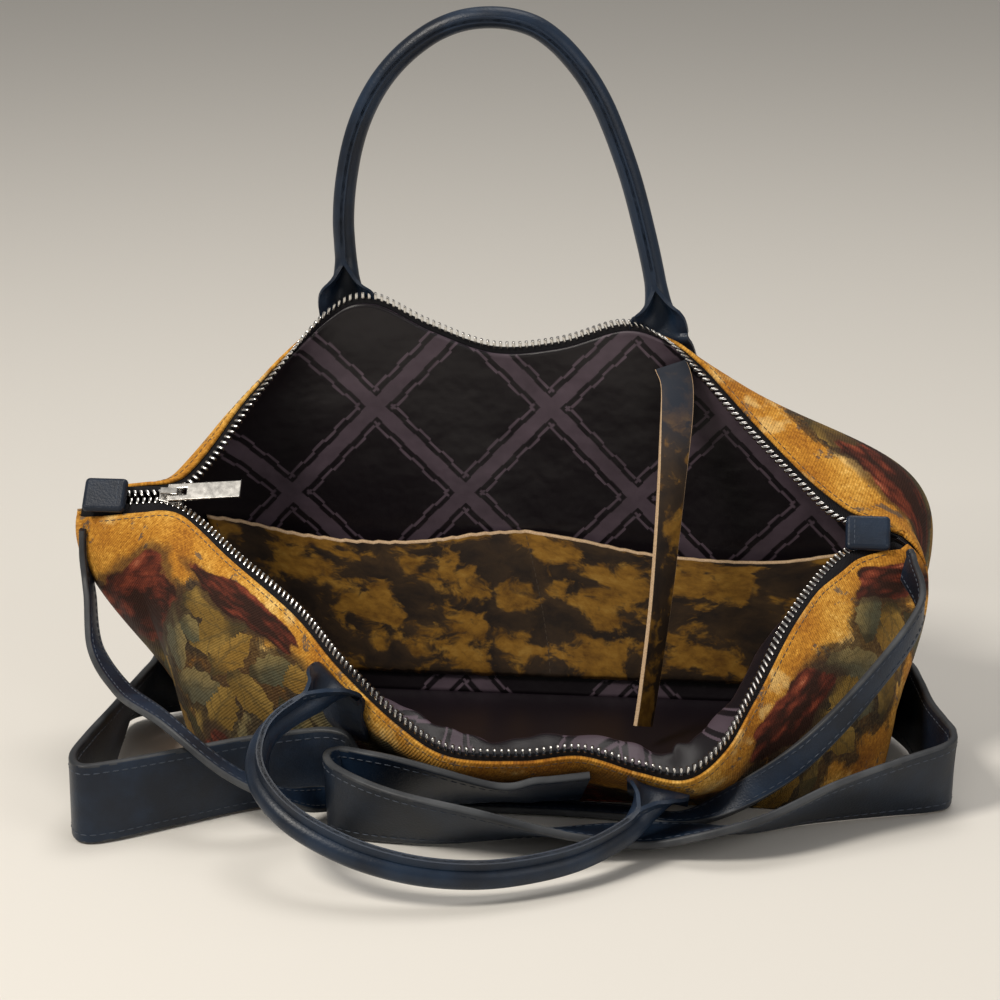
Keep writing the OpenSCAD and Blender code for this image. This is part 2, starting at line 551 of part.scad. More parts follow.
// Handles: hinge points beside the wall, then a loop in the plane through them
function hinge_point(side, k) = wall_at(side, handle_shares(side)[k], hinge_d, hinge_off);
back_hinge = [hinge_point(1, 0), hinge_point(1, 1)];
front_hinge = [hinge_point(-1, 0), hinge_point(-1, 1)];
front_apex_z = roll_d * apex_share;
function hinge(side) = side < 0 ? front_hinge : back_hinge;
function hinge_along(side) = unit(hinge(side)[1] - hinge(side)[0]);
function hinge_mid(side) = (hinge(side)[0] + hinge(side)[1]) / 2;
function reach(side) = side < 0 ? front_drop : handle_drop;
// Direction of the loop: the back one stands up, the front one reaches down to the floor
function loop_dir(side) =
    let (a = hinge_along(side), m = hinge_mid(side),
         fall = asin(min(1, (m[2] - front_apex_z) / front_drop)))
    across(side < 0 ? [0, -cos(fall), -sin(fall)] : [0, 0, 1], a);
// Section of a handle: a round roll with its flange, opening flat where it is sewn down
function section(open, thin) =
    let (r = roll_d / 2, end_w = tab_w * end_share, end_t = tab_t * thin)
    concat([for (i = [0:roll_sides]) let (q = 90 + seam_angle / 2 + (360 - seam_angle) * i / roll_sides)
               [mix(r, end_w / 2, open) * cos(q), mix(r, end_t / 2, open) * sin(q)]],
           [for (e = [1, -1])
               [e * mix(flange_t / 2, end_w * end_top_share, open), mix(r + flange_w, end_t / 2, open)]]);
function both_ends(list, middle) =
    concat(list, [for (i = [1:roll_rings - 1]) middle], [for (k = [len(list) - 1:-1:0]) list[k]]);
function loop_rings(side) =
    let (a = hinge_along(side), d = loop_dir(side), n = cross(a, d) * side, m = hinge_mid(side),
         h = norm(hinge(side)[1] - hinge(side)[0]) / 2,
         path = [for (s = side < 0 ? front_loop_shares : back_loop_shares) [s[0] * h, s[1] * reach(side)]],
         walk = spline_lengths(path, loop_steps), total = walk[loop_steps][0],
         near = concat([for (s = flat_place_shares) s * tab_t / 2],
                       [for (s = roll_place_shares) s * roll_d / 2]),
         last = len(near) - 1, step = (total - 2 * near[last]) / roll_rings,
         stops = concat(near, [for (i = [1:roll_rings - 1]) near[last] + step * i],
                        [for (k = [last:-1:0]) total - near[k]]),
         opens = both_ends(open_shares, 0), thins = both_ends(open_thin_shares, 1))
    [for (i = [0:len(stops) - 1])
        let (s = stops[i], u = lookup(min(total, max(0, s)), walk),
             v = even(path, min(1, u + tiny)) - even(path, max(0, u - tiny)),
             along = s <= near[3] ? [0, 1] : s >= total - near[3] ? [0, -1] : unit(v),
             past = s < 0 ? [0, s] : s > total ? [0, total - s] : [0, 0], c = even(path, u) + past)
        [for (p = section(opens[i], thins[i]))
            m + a * (c[0] + along[1] * p[0]) + d * (c[1] - along[0] * p[0]) + n * p[1]]];
module handle_back() color(navy) sweep(loop_rings(1), true);
module handle_front() color(navy) sweep(loop_rings(-1));

// Sewn-down handle ends, a leaf shape on three columns of the wall
function tab_top(side, k, j) =
    let (a = hinge_along(side), h = hinge(side)[k], c = tab_columns[k],
         e = across(column_at(side, c, hinge_d + tab_l, hinge_off) - h, a))
    lookup(hinge_r + (side < 0 ? front_tab_gap : back_tab_gap),
           [for (i = [0:slope_steps]) let (l = i * slope_step) [(column_at(side, j, l, 0) - h) * e, l]]);
module tab(side, k) {
    c = tab_columns[k];
    tops = [for (j = [c - 1:c + 1]) max(cloth_edge, tab_top(side, k, j))];
    rows = [for (i = [0:3]) i / 3];
    function leaf(off) = [for (j = [0:2]) [for (i = [0:3])
        let (mid = column_at(side, c, tops[1] + rows[i] * tab_l, off),
             own = column_at(side, c - 1 + j, tops[j] + rows[i] * tab_l, off))
        mix(mid, own, tab_wide_shares[i])]];
    skin(leaf(tab_in + tab_t), leaf(tab_in), side < 0);
}
module handle_tab_back_left() color(navy) tab(1, 0);
module handle_tab_back_right() color(navy) tab(1, 1);
module handle_tab_front_left() color(navy) tab(-1, 0);
module handle_tab_front_right() color(navy) tab(-1, 1);

// Straps
foot_z = strap_w * strap_foot_up_share;
module shoulder_strap(feet, route, heads, head_up) color(navy) sweep(strap_sections(concat(
    [for (t = feet) sewn_station(1, t, foot_z, strap_foot_off_share)],
    strap_route(route),
    [for (h = heads) sewn_station(-1, h[0], strap_w * head_up, h[1])]), strap_w, strap_t, strap_rings));
module shoulder_strap_left()
    shoulder_strap(strap_foot_shares, left_strap_shares, left_head_shares, left_head_up_share);
module shoulder_strap_right()
    shoulder_strap([for (t = strap_foot_shares) 1 - t], right_strap_shares, right_head_shares,
                   right_head_up_share);
function cross_end(t, width_dir) =
    [wall_at(-1, t, cross_d, cloth_out + cross_clear + cross_t / 2), width_dir];
module cross_strap() color(navy) sweep(strap_sections(concat(
    [cross_end(0, [0, 1, 0])],
    [for (s = cross_shares)
        [[s[0] * base_w / 2, s[1] * base_d / 2, s[2] * peak_h + cross_t / 2], [0, 1 - s[3], s[3]]]],
    [cross_end(1, [0, 0, 1])]), cross_w, cross_t, strap_rings));

// Pocket on the back wall and the strip that hangs beside it
function pocket_grid(extra) =
    [for (j = [0:pocket_cols])
        let (q = j / pocket_cols, t = mix(pocket_ends_shares[0], pocket_ends_shares[1], q),
             top = pocket_h * even(pocket_wave_shares, q), foot = pocket_h * pocket_foot_share)
        [for (i = [0:pocket_rows])
            let (r = i / pocket_rows, d = depth_at_height(1, t, mix(top, foot, r)),
                 puff = pocket_room * pow(abs(sin(360 * q)), puff_power) * sqrt(1 - r * r))
            wall_at(1, t, d, -lining_in - pocket_clear - puff - extra)]];
module pocket() color(printed) skin(pocket_grid(0), pocket_grid(pocket_t), false);
function strip_end(d, clear) =
    let (t = strip_place_share, w = turn_share / 2)
    [wall_at(1, t, d, -lining_in - clear - strip_t / 2),
     unit(wall_at(1, t + w, d, 0) - wall_at(1, t - w, d, 0))];
module hanging_strip() color(printed) sweep(strap_sections(concat(
    [strip_end(tape_w + 2 * strip_t, strip_clear), strip_end(tape_w + strip_w, 4 * strip_clear)],
    [for (s = strip_shares)
        [[s[0] * base_w / 2, s[1] * base_d / 2, s[2] * peak_h], [cos(90 * s[3]), sin(90 * s[3]), 0]]]),
    strip_w, strip_t, strap_rings));

front_panel();
back_panel();
base_panel();
lining_front();
lining_back();
lining_base();
pocket();
hanging_strip();
zip_tape_front();
zip_tape_back();
zip_teeth_front();
zip_teeth_back();
zip_cap_left();
zip_cap_right();
zip_slider();
zip_pull();
handle_back();
handle_front();
handle_tab_back_left();
handle_tab_back_right();
handle_tab_front_left();
handle_tab_front_right();
shoulder_strap_left();
shoulder_strap_right();
cross_strap();
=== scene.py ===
# %% [markdown]
# # A tapestry tote backpack with its mouth open
#
# The bag stands on its base, the back handle is up and the front wall has slumped forward.
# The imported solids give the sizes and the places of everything. This file dresses them:
# woven tapestry walls, a satin lining, a metal zip, printed leather inside, and rolled
# navy leather handles and straps with their stitching.

# %% Load the solids
import math

import bpy
import numpy as np
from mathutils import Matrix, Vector


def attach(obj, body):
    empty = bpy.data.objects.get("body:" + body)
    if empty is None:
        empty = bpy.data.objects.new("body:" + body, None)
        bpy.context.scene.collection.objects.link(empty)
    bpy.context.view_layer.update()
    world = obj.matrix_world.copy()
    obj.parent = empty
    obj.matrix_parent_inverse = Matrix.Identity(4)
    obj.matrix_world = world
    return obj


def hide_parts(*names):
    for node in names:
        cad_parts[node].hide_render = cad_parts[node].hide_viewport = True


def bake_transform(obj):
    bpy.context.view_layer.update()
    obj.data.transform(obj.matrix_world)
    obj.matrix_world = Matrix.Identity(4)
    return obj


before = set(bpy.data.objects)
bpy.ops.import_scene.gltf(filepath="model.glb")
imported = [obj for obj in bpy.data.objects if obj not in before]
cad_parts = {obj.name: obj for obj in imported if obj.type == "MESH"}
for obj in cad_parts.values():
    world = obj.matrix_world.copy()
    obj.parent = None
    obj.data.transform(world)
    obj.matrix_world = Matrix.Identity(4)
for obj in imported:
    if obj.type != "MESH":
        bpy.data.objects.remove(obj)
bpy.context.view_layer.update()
scene = bpy.context.scene
MM = 0.001
print("solids loaded:", len(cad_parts), "nodes")

# %% [markdown]
# ## The sizes of the bag
#
# The real walls are cloth, cut flat and sewn to a curved zip. They could be pulled over the
# solids with a Shrinkwrap modifier, but the solids have facets, and these would show in the
# cloth. So the walls are lofted here a second time, finer than the solids and from the same
# shares. Every stitch line is then placed by how far it is along the zip and how deep it is
# below it. Lengths are in millimetres until a mesh is made.

# %% Sizes shared with the solids
BASE_W, BASE_D, BASE_R, BASE_T = 310, 120, 44, 2.4
MOUTH_W, MOUTH_LEAN, FRONT_REACH, BACK_REACH, PEAK_H = 363, 24, 106, 58, 200
CLOTH_T, LINING_T, LAYER_GAP = 1.6, 0.8, 0.3
SHOULDER_OUT, SHOULDER_DROP, BELLY_OUT, BELLY_UP = 34, 50, 30, 60
TAPE_W, TAPE_T, TAPE_TOP, CLOTH_EDGE, ROW_HALF = 13, 0.8, 1.4, 7, 1.7
TOOTH_PITCH, CAP_L, CAP_H = 3, 20, 4.5
STRAP_W, STRAP_T, CROSS_W, CROSS_T = 36, 3.6, 12, 3
POCKET_H, POCKET_ROOM, POCKET_T, STRIP_W, STRIP_T = 84, 8, 1.4, 15, 2
CLOTH_OUT = TAPE_T / 2 + LAYER_GAP + CLOTH_T
LINING_OUT = TAPE_T / 2 + LAYER_GAP
LINING_IN = LINING_OUT + LINING_T
TURN_SHARE = 0.04
FRONT, BACK = -1, 1

FRONT_RIM = [
    [-1.028, 0, 0.565], [-0.92, 0, 0.57], [-0.86, 0, 0.574], [-0.825, 0.008, 0.576],
    [-0.785, 0.026, 0.57], [-0.745, 0.06, 0.556], [-0.69, 0.13, 0.532], [-0.61, 0.25, 0.495],
    [-0.43, 0.5, 0.42], [-0.3, 0.74, 0.345], [-0.15, 0.925, 0.26], [-0.03, 1, 0.21],
    [0.14, 1, 0.205], [0.28, 0.97, 0.215], [0.42, 0.98, 0.185], [0.53, 0.96, 0.17],
    [0.61, 0.86, 0.215], [0.67, 0.68, 0.295], [0.76, 0.39, 0.425], [0.88, 0.06, 0.51],
    [1, 0.01, 0.535]]
BACK_RIM = [
    [-1.028, 0, 0.565], [-0.92, 0, 0.57], [-0.86, 0, 0.574], [-0.825, 0.014, 0.576],
    [-0.785, 0.047, 0.585], [-0.745, 0.105, 0.61], [-0.69, 0.22, 0.67], [-0.6, 0.43, 0.79],
    [-0.44, 0.7, 0.965], [-0.33, 0.78, 1.005], [-0.18, 0.84, 0.94], [-0.02, 0.92, 0.885],
    [0.15, 0.92, 0.9], [0.31, 0.84, 0.95], [0.41, 0.78, 0.925], [0.49, 0.7, 0.865],
    [0.62, 0.46, 0.75], [0.77, 0.22, 0.63], [0.87, 0.08, 0.56], [1, 0.01, 0.535]]
# Swell of the shoulder and its drop, swell of the belly and its lift, push of the shoulder sideways
SWELLS = {
    FRONT: [[0.55, 0.6, 0.5, 0.28, 0, 0, 0.24, 0.6, 0.55],
            [0.25, 0.2, 0.4, 0.56, 0.4, 0.3, 0.44, 0.3, 0.45],
            [0.3, 0.5, 0.35, 0.15, 0.2, 0.25, 0.4, 0.4, 0.2],
            [0.62, 0.5, 0.45, 0.36, 0.24, 0.22, 0.32, 0.52, 0.66],
            [0, 0, 0, 0, 0, 0, 0, 0.3, 0.8]],
    BACK: [[0.5, 0.4, 0.3, 0.1, 0.22, 0.12, 0.5, 1, 0.55],
           [-0.4, -0.3, 0.2, 0.95, 0.7, 0.9, 0.1, -0.4, -0.25],
           [0.3, 0.5, 0.5, 0.4, 0.4, 0.4, 0.45, 0.3, 0.2],
           [0.62, 0.6, 1, 1.1, 1, 1, 1, 0.84, 0.66],
           [0, -0.65, -0.6, 0, 0, 0.4, 1.3, 2.8, 0.8]]}
END_SWELLS = [[0.5, 0.75], [0.2, 0.2]]
ZIP_ROLL = math.radians(45)
print("bag:", MOUTH_W, "mm wide at the mouth and", PEAK_H, "mm high")

# %% [markdown]
# ## Curves
#
# Rims, straps and handles run through a few given points. Blender has curve objects for
# this. Arrays are used instead, because cloth, stitches and teeth all need thousands of
# points of the same curves.


# %% Curves through points
def spline(points, u):
    """A smooth curve through points, where u counts the points passed."""
    points = np.asarray(points, float)
    last = len(points) - 1
    u = np.asarray(u, float)
    i = np.clip(np.floor(u).astype(int), 0, last - 1)
    f = u - i
    if points.ndim > 1:
        f = f[..., None]
    a, b = points[np.maximum(i - 1, 0)], points[i]
    c, d = points[i + 1], points[np.minimum(i + 2, last)]
    bend = (2 * a - 5 * b + 4 * c - d) * f**2 + (3 * b - a - 3 * c + d) * f**3
    return b + ((c - a) * f + bend) / 2


def even(points, t):
    return spline(points, np.asarray(t, float) * (len(points) - 1))


def ease(u):
    c = np.clip(u, 0, 1)
    return c * c * (3 - 2 * c)


def unit(v):
    v = np.asarray(v, float)
    return v / np.maximum(np.linalg.norm(v, axis=-1, keepdims=True), 1e-9)


def run_lengths(points):
    steps = np.linalg.norm(np.diff(points, axis=0), axis=1)
    return np.concatenate([[0], np.cumsum(steps)])


def reading(stop, run, table):
    """The row of a table at a distance along its run."""
    return np.array([np.interp(stop, run, column) for column in np.transpose(table)])


# %% [markdown]
# ## The loft
#
# Each wall hangs from its zip line. A column of the wall is one curve from the foot, over
# the belly and the shoulder, to the zip. A table of many such columns is worked out once,
# and any point of the wall is then read from it by place, depth and distance off the cloth.

# %% Loft the two walls
COLUMNS, ROWS = 281, 161
RIM_POINTS, CURVE_POINTS = 121, 97


def base_outline(t):
    """Foot of the wall and its outward direction, from the left end round to the right end."""
    cx, cy, arc = BASE_W / 2 - BASE_R, BASE_D / 2 - BASE_R, BASE_R * math.pi / 2
    keys = np.cumsum([0, cy, arc, 2 * cx, arc, cy])
    s = t * keys[-1]
    turn = np.radians(np.interp(s, keys, [0, 0, 90, 90, 180, 180]))
    x = np.interp(s, keys, [-cx, -cx, -cx, cx, cx, cx]) - BASE_R * np.cos(turn)
    y = np.interp(s, keys, [0, cy, cy, cy, cy, 0]) + BASE_R * np.sin(turn)
    return np.stack([x, y], 1), np.stack([-np.cos(turn), np.sin(turn)], 1)


class Wall:
    """One wall as a table of points, read by place along the zip and depth below it."""

    def __init__(self, side):
        self.side = side
        shares = np.array(FRONT_RIM if side < 0 else BACK_RIM)
        reach = FRONT_REACH if side < 0 else BACK_REACH
        self.rim_points = np.stack([
            shares[:, 0] * MOUTH_W / 2 - MOUTH_LEAN,
            side * (ROW_HALF * math.cos(ZIP_ROLL) + shares[:, 1] * reach),
            shares[:, 2] * PEAK_H + side * ROW_HALF * math.sin(ZIP_ROLL)], 1)
        self.fine = np.linspace(0, 1, RIM_POINTS)
        self.walk = run_lengths(even(self.rim_points, self.fine))
        self.zip_l = self.walk[-1]
        self.places = np.linspace(0, 1, COLUMNS)
        self.points, self.lengths = self.loft()
        self.normals = self.outward()
        steps = np.linalg.norm(np.diff(self.points, axis=0), axis=2)
        walked = np.vstack([np.zeros((1, ROWS)), np.cumsum(steps, 0)])
        self.walked = (walked - walked[COLUMNS // 2])[..., None]

    def rim(self, t):
        return even(self.rim_points, np.interp(np.clip(t, 0, 1) * self.zip_l, self.walk, self.fine))

    def loft(self):
        t, side = self.places, self.side
        near = ease(np.minimum(t, 1 - t) / TURN_SHARE)
        ends = np.where(t[:, None] < 0.5, END_SWELLS[0], END_SWELLS[1])
        out, drop, belly, lift, push = [even(s, t) for s in SWELLS[side]]
        out = ends[:, 0] + (out - ends[:, 0]) * near
        drop = ends[:, 1] + (drop - ends[:, 1]) * near
        foot_xy, foot_out = base_outline(t)
        flat = np.zeros_like(t)
        foot = np.stack([foot_xy[:, 0], side * np.maximum(foot_xy[:, 1], LAYER_GAP), flat], 1)
        away = np.stack([foot_out[:, 0], side * foot_out[:, 1], flat], 1)
        rim = self.rim(t)
        run = self.rim(t + TURN_SHARE / 2) - self.rim(t - TURN_SHARE / 2)
        across = unit(np.stack([-run[:, 1], run[:, 0], flat], 1)) * side
        end_out = np.stack([np.where(t < 0.5, -1.0, 1.0), flat, flat], 1)
        rim_out = unit(end_out + (across - end_out) * near[:, None])
        up, right = np.array([0, 0, 1.0]), np.array([1.0, 0, 0])
        swell = foot + away * (BELLY_OUT * belly)[:, None] + up * (BELLY_UP * lift)[:, None]
        shoulder = rim + rim_out * (SHOULDER_OUT * out)[:, None] - up * (SHOULDER_DROP * drop)[:, None]
        shoulder = shoulder + right * (SHOULDER_OUT * push)[:, None]
        u = np.linspace(1, 0, CURVE_POINTS)[None, :, None]
        controls = [c[:, None, :] for c in (foot, swell, shoulder, rim)]
        curve = (controls[0] * (1 - u)**3 + controls[1] * 3 * u * (1 - u)**2
                 + controls[2] * 3 * u**2 * (1 - u) + controls[3] * u**3)
        table = np.empty((COLUMNS, ROWS, 3))
        lengths = np.empty(COLUMNS)
        for j in range(COLUMNS):
            depth = run_lengths(curve[j])
            lengths[j] = depth[-1]
            stops = np.linspace(0, depth[-1], ROWS)
            for axis in range(3):
                table[j, :, axis] = np.interp(stops, depth, curve[j, :, axis])
        return table, lengths

    def outward(self):
        v = np.cross(np.gradient(self.points, axis=0), np.gradient(self.points, axis=1)) * self.side
        v[[0, -1], :, 1] = 0
        v[:, -1, 2] = 0
        return unit(v)

    def length(self, t):
        return np.interp(t, self.places, self.lengths)

    def read(self, table, t, d):
        t, d = np.broadcast_arrays(np.asarray(t, float), np.asarray(d, float))
        x = np.clip(t, 0, 1) * (COLUMNS - 1)
        y = np.clip(d / self.length(t), 0, 1) * (ROWS - 1)
        j = np.clip(np.floor(x).astype(int), 0, COLUMNS - 2)
        i = np.clip(np.floor(y).astype(int), 0, ROWS - 2)
        p, q = (x - j)[..., None], (y - i)[..., None]
        upper = table[j, i] * (1 - p) + table[j + 1, i] * p
        lower = table[j, i + 1] * (1 - p) + table[j + 1, i + 1] * p
        return upper * (1 - q) + lower * q

    def at(self, t, d, off=0.0):
        """Point at a share t along the zip, depth d below it and off the cloth's middle."""
        return self.read(self.points, t, d) + self.out(t, d) * np.asarray(off, float)[..., None]

    def out(self, t, d):
        return unit(self.read(self.normals, t, d))

    def spread(self, t, d):
        """How far a point is from the wall's middle, measured along the cloth."""
        return self.read(self.walked, t, d)[..., 0]

    def along(self, t, d):
        w = 0.01
        return unit(self.at(t + w, d) - self.at(t - w, d))

    def up(self, t, d):
        return unit(self.at(t, d - 2) - self.at(t, d + 2))

    def depth_at_height(self, t, z):
        x = np.clip(np.round(np.asarray(t) * (COLUMNS - 1)).astype(int), 0, COLUMNS - 1)
        depths = [np.interp(h, self.points[j, ::-1, 2], self.lengths[j] * np.linspace(1, 0, ROWS))
                  for j, h in zip(np.ravel(x), np.ravel(np.broadcast_to(z, np.shape(x))))]
        return np.reshape(depths, np.shape(x))


walls = {FRONT: Wall(FRONT), BACK: Wall(BACK)}
for side, wall in walls.items():
    low, high = wall.lengths.min(), wall.lengths.max()
    print("wall", side, "zip", round(wall.zip_l), "mm, depth", round(low), "to", round(high), "mm")

# %% [markdown]
# ## Pieces from flat patterns
#
# Cloth and leather start as a flat grid, as a pattern lies on the cutting table. The grid
# could be folded by a cloth simulation, but then it would not meet the zip. So its points are
# moved straight to where the sewn bag holds them. The grid's own map is kept as the cloth's
# map, in metres, so weave and print run with the piece.


# %% Lay a pattern
def lay_grid(name, columns, rows, place, mapping):
    """A grid whose points go where place says, given shares across and along, in millimetres."""
    bpy.ops.object.select_all(action="DESELECT")
    bpy.ops.mesh.primitive_grid_add(x_subdivisions=columns, y_subdivisions=rows, size=2)
    piece = bpy.context.object
    piece.name = piece.data.name = name
    count = len(piece.data.vertices)
    flat = np.empty(count * 3)
    piece.data.vertices.foreach_get("co", flat)
    u, v = (flat.reshape(-1, 3)[:, :2].T + 1) / 2
    piece.data.vertices.foreach_set("co", (place(u, v) * MM).astype(np.float32).ravel())
    corners = np.empty(len(piece.data.loops), int)
    piece.data.loops.foreach_get("vertex_index", corners)
    cloth_map = (mapping(u, v) * MM)[corners]
    piece.data.uv_layers[0].data.foreach_set("uv", cloth_map.astype(np.float32).ravel())
    piece.data.update()
    bpy.ops.object.shade_smooth()
    return piece


# %% Thickness and closed bands
def select_only(piece):
    bpy.ops.object.select_all(action="DESELECT")
    piece.select_set(True)
    bpy.context.view_layer.objects.active = piece


def apply_modifier(piece, kind, **settings):
    select_only(piece)
    modifier = piece.modifiers.new(kind.lower(), kind)
    for key, value in settings.items():
        setattr(modifier, key, value)
    bpy.ops.object.modifier_apply(modifier=modifier.name)


def thicken(piece, thickness, rim_slot=0):
    apply_modifier(piece, "SOLIDIFY", thickness=thickness * MM, offset=-1, use_even_offset=False,
                   material_offset_rim=rim_slot)


def close_tube(piece):
    """Joins the grid's two long edges and fills its ends."""
    select_only(piece)
    bpy.ops.object.mode_set(mode="EDIT")
    bpy.ops.mesh.select_all(action="SELECT")
    bpy.ops.mesh.remove_doubles(threshold=1e-6)
    bpy.ops.mesh.fill_holes(sides=0)
    bpy.ops.mesh.select_all(action="SELECT")
    bpy.ops.mesh.normals_make_consistent(inside=False)
    bpy.ops.object.mode_set(mode="OBJECT")
    bpy.ops.object.shade_smooth_by_angle(angle=math.radians(50))


# %% [markdown]
# Stitches and teeth repeat hundreds of times. Each is modelled once and copied into one mesh,
# because hundreds of separate objects would be slow to move. Solids that only need softer
# edges keep their mesh and get live modifiers.


# %% Copies of a small model
def copies(name, model, centres, frames):
    """One mesh that repeats a small model at every centre, turned by the frame there."""
    count = len(model.data.vertices)
    flat = np.empty(count * 3)
    model.data.vertices.foreach_get("co", flat)
    shape = flat.reshape(-1, 3)
    faces = [list(p.vertices) for p in model.data.polygons]
    points = np.asarray(centres)[:, None, :] * MM + np.einsum("vi,cij->cvj", shape, np.asarray(frames))
    mesh = bpy.data.meshes.new(name)
    everyone = [[k * count + i for i in face] for k in range(len(centres)) for face in faces]
    mesh.from_pydata(points.reshape(-1, 3).tolist(), [], everyone)
    piece = bpy.data.objects.new(name, mesh)
    scene.collection.objects.link(piece)
    select_only(piece)
    bpy.ops.object.shade_smooth_by_angle(angle=math.radians(40))
    return piece


# %% Rounded solids and finished pieces
def round_edges(piece, width, segments):
    """Softens a solid's edges by live modifiers, which leave its mesh as it is."""
    weld = piece.modifiers.new("weld", "WELD")
    weld.merge_threshold = 1e-5
    bevel = piece.modifiers.new("round", "BEVEL")
    bevel.width, bevel.segments, bevel.limit_method = width * MM, segments, "ANGLE"


def dress(piece, material, body="bag", replaces=()):
    """Gives a piece its finish, its body and the solids that it stands for."""
    finishes = material if isinstance(material, (list, tuple)) else [material]
    for _ in range(len(finishes) - len(piece.data.materials)):
        piece.data.materials.append(None)
    for k, finish in enumerate(finishes):
        piece.data.materials[k] = finish
    if body:
        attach(piece, body)
    if replaces:
        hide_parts(*replaces)
    print(piece.name, len(piece.data.polygons), "faces")
    return piece


# %% [markdown]
# ## Finishes
#
# Every finish is a small graph of nodes, as one would wire it by hand in the shader editor.
# The class below only saves typing: each call adds one node and returns its output, so a
# finish reads as a list of steps.


# %% A short way to write finishes
class Finish:
    """A material that is wired node by node."""

    def __init__(self, name):
        self.material = bpy.data.materials.new(name)
        self.material.use_nodes = True
        self.nodes = self.material.node_tree.nodes
        self.links = self.material.node_tree.links
        self.shader = self.nodes["Principled BSDF"]

    def add(self, kind, inputs=(), output=0, **settings):
        new = self.nodes.new("ShaderNode" + kind)
        for key, value in settings.items():
            setattr(new, key, value)
        for key, value in dict(inputs).items():
            self.put(new.inputs[key], value)
        return new.outputs[output]

    def put(self, socket, value):
        if isinstance(value, bpy.types.NodeSocket):
            self.links.new(value, socket)
        else:
            socket.default_value = value

    def math(self, operation, a, b=0.0, c=0.0):
        return self.add("Math", {0: a, 1: b, 2: c}, operation=operation)

    def times(self, a, b):
        return self.math("MULTIPLY", a, b)

    def plus(self, a, b):
        return self.math("ADD", a, b)

    def minus(self, a, b):
        return self.math("SUBTRACT", a, b)

    def times_plus(self, a, b, c):
        return self.math("MULTIPLY_ADD", a, b, c)

    def sway(self, noise, width):
        """A noise moved to run evenly to both sides of zero."""
        return self.times_plus(noise, width, -width / 2)

    def wave(self, value, length):
        """A sine that repeats after a length."""
        return self.math("SINE", self.times(value, 2 * math.pi / length))

    def vector(self, operation, a, b=(0, 0, 0)):
        return self.add("VectorMath", {0: a, 1: b}, operation=operation)

    def split(self, vector):
        new = self.nodes.new("ShaderNodeSeparateXYZ")
        self.put(new.inputs[0], vector)
        return new.outputs[0], new.outputs[1], new.outputs[2]

    def noise(self, vector, scale, detail=2.0, rough=0.5, output=0):
        inputs = {"Vector": vector, "Scale": scale, "Detail": detail, "Roughness": rough}
        return self.add("TexNoise", inputs, output=output)

    def blend(self, share, a, b, kind="MIX"):
        new = self.nodes.new("ShaderNodeMix")
        new.data_type = "RGBA"
        new.blend_type = kind
        self.put(new.inputs[0], share)
        for socket, value in ((new.inputs[6], a), (new.inputs[7], b)):
            self.put(socket, (*value, 1) if isinstance(value, tuple) else value)
        return new.outputs[2]

    def ramp(self, share, stops, smooth=True):
        new = self.nodes.new("ShaderNodeValToRGB")
        new.color_ramp.interpolation = "LINEAR" if smooth else "CONSTANT"
        while len(new.color_ramp.elements) < len(stops):
            new.color_ramp.elements.new(1.0)
        for element, (place, colour) in zip(new.color_ramp.elements, stops):
            element.position = place
            element.color = (*colour, 1)
        self.put(new.inputs[0], share)
        return new.outputs[0]

    def step(self, value, low, high):
        return self.add("MapRange", {"Value": value, "From Min": low, "From Max": high},
                        interpolation_type="SMOOTHSTEP")

    def cloth_map(self):
        """The piece's own map, in millimetres."""
        return self.vector("MULTIPLY", self.add("UVMap"), (1000, 1000, 1000))

    def place_mm(self):
        """The place on the object, in millimetres."""
        return self.vector("MULTIPLY", self.add("TexCoord", output="Object"), (1000, 1000, 1000))

    def bump(self, height, depth_mm, normal=None):
        inputs = {"Height": height, "Distance": depth_mm * MM, "Strength": 1.0}
        if normal is not None:
            inputs["Normal"] = normal
        return self.add("Bump", inputs)

    def finish(self, **sockets):
        for key, value in sockets.items():
            name = key.replace("_", " ").title().replace("Ior", "IOR")
            self.put(self.shader.inputs[name], (*value, 1) if isinstance(value, tuple) else value)
        return self.material


# %% [markdown]
# ## The print's layout
#
# The walls are a woven floral: brick roses and olive leaves in brown shadow on an ochre
# ground. A picture could be wrapped round the cloth, but from close by its pixels would show.
# So only places are written down: each rose, some leaves beside it, and a ring of more leaves
# round every rose. The corners of the cloth's faces store where they lie in the frame of the
# nearest mark, and nodes then draw petals and veins in that frame, so edges stay sharp.

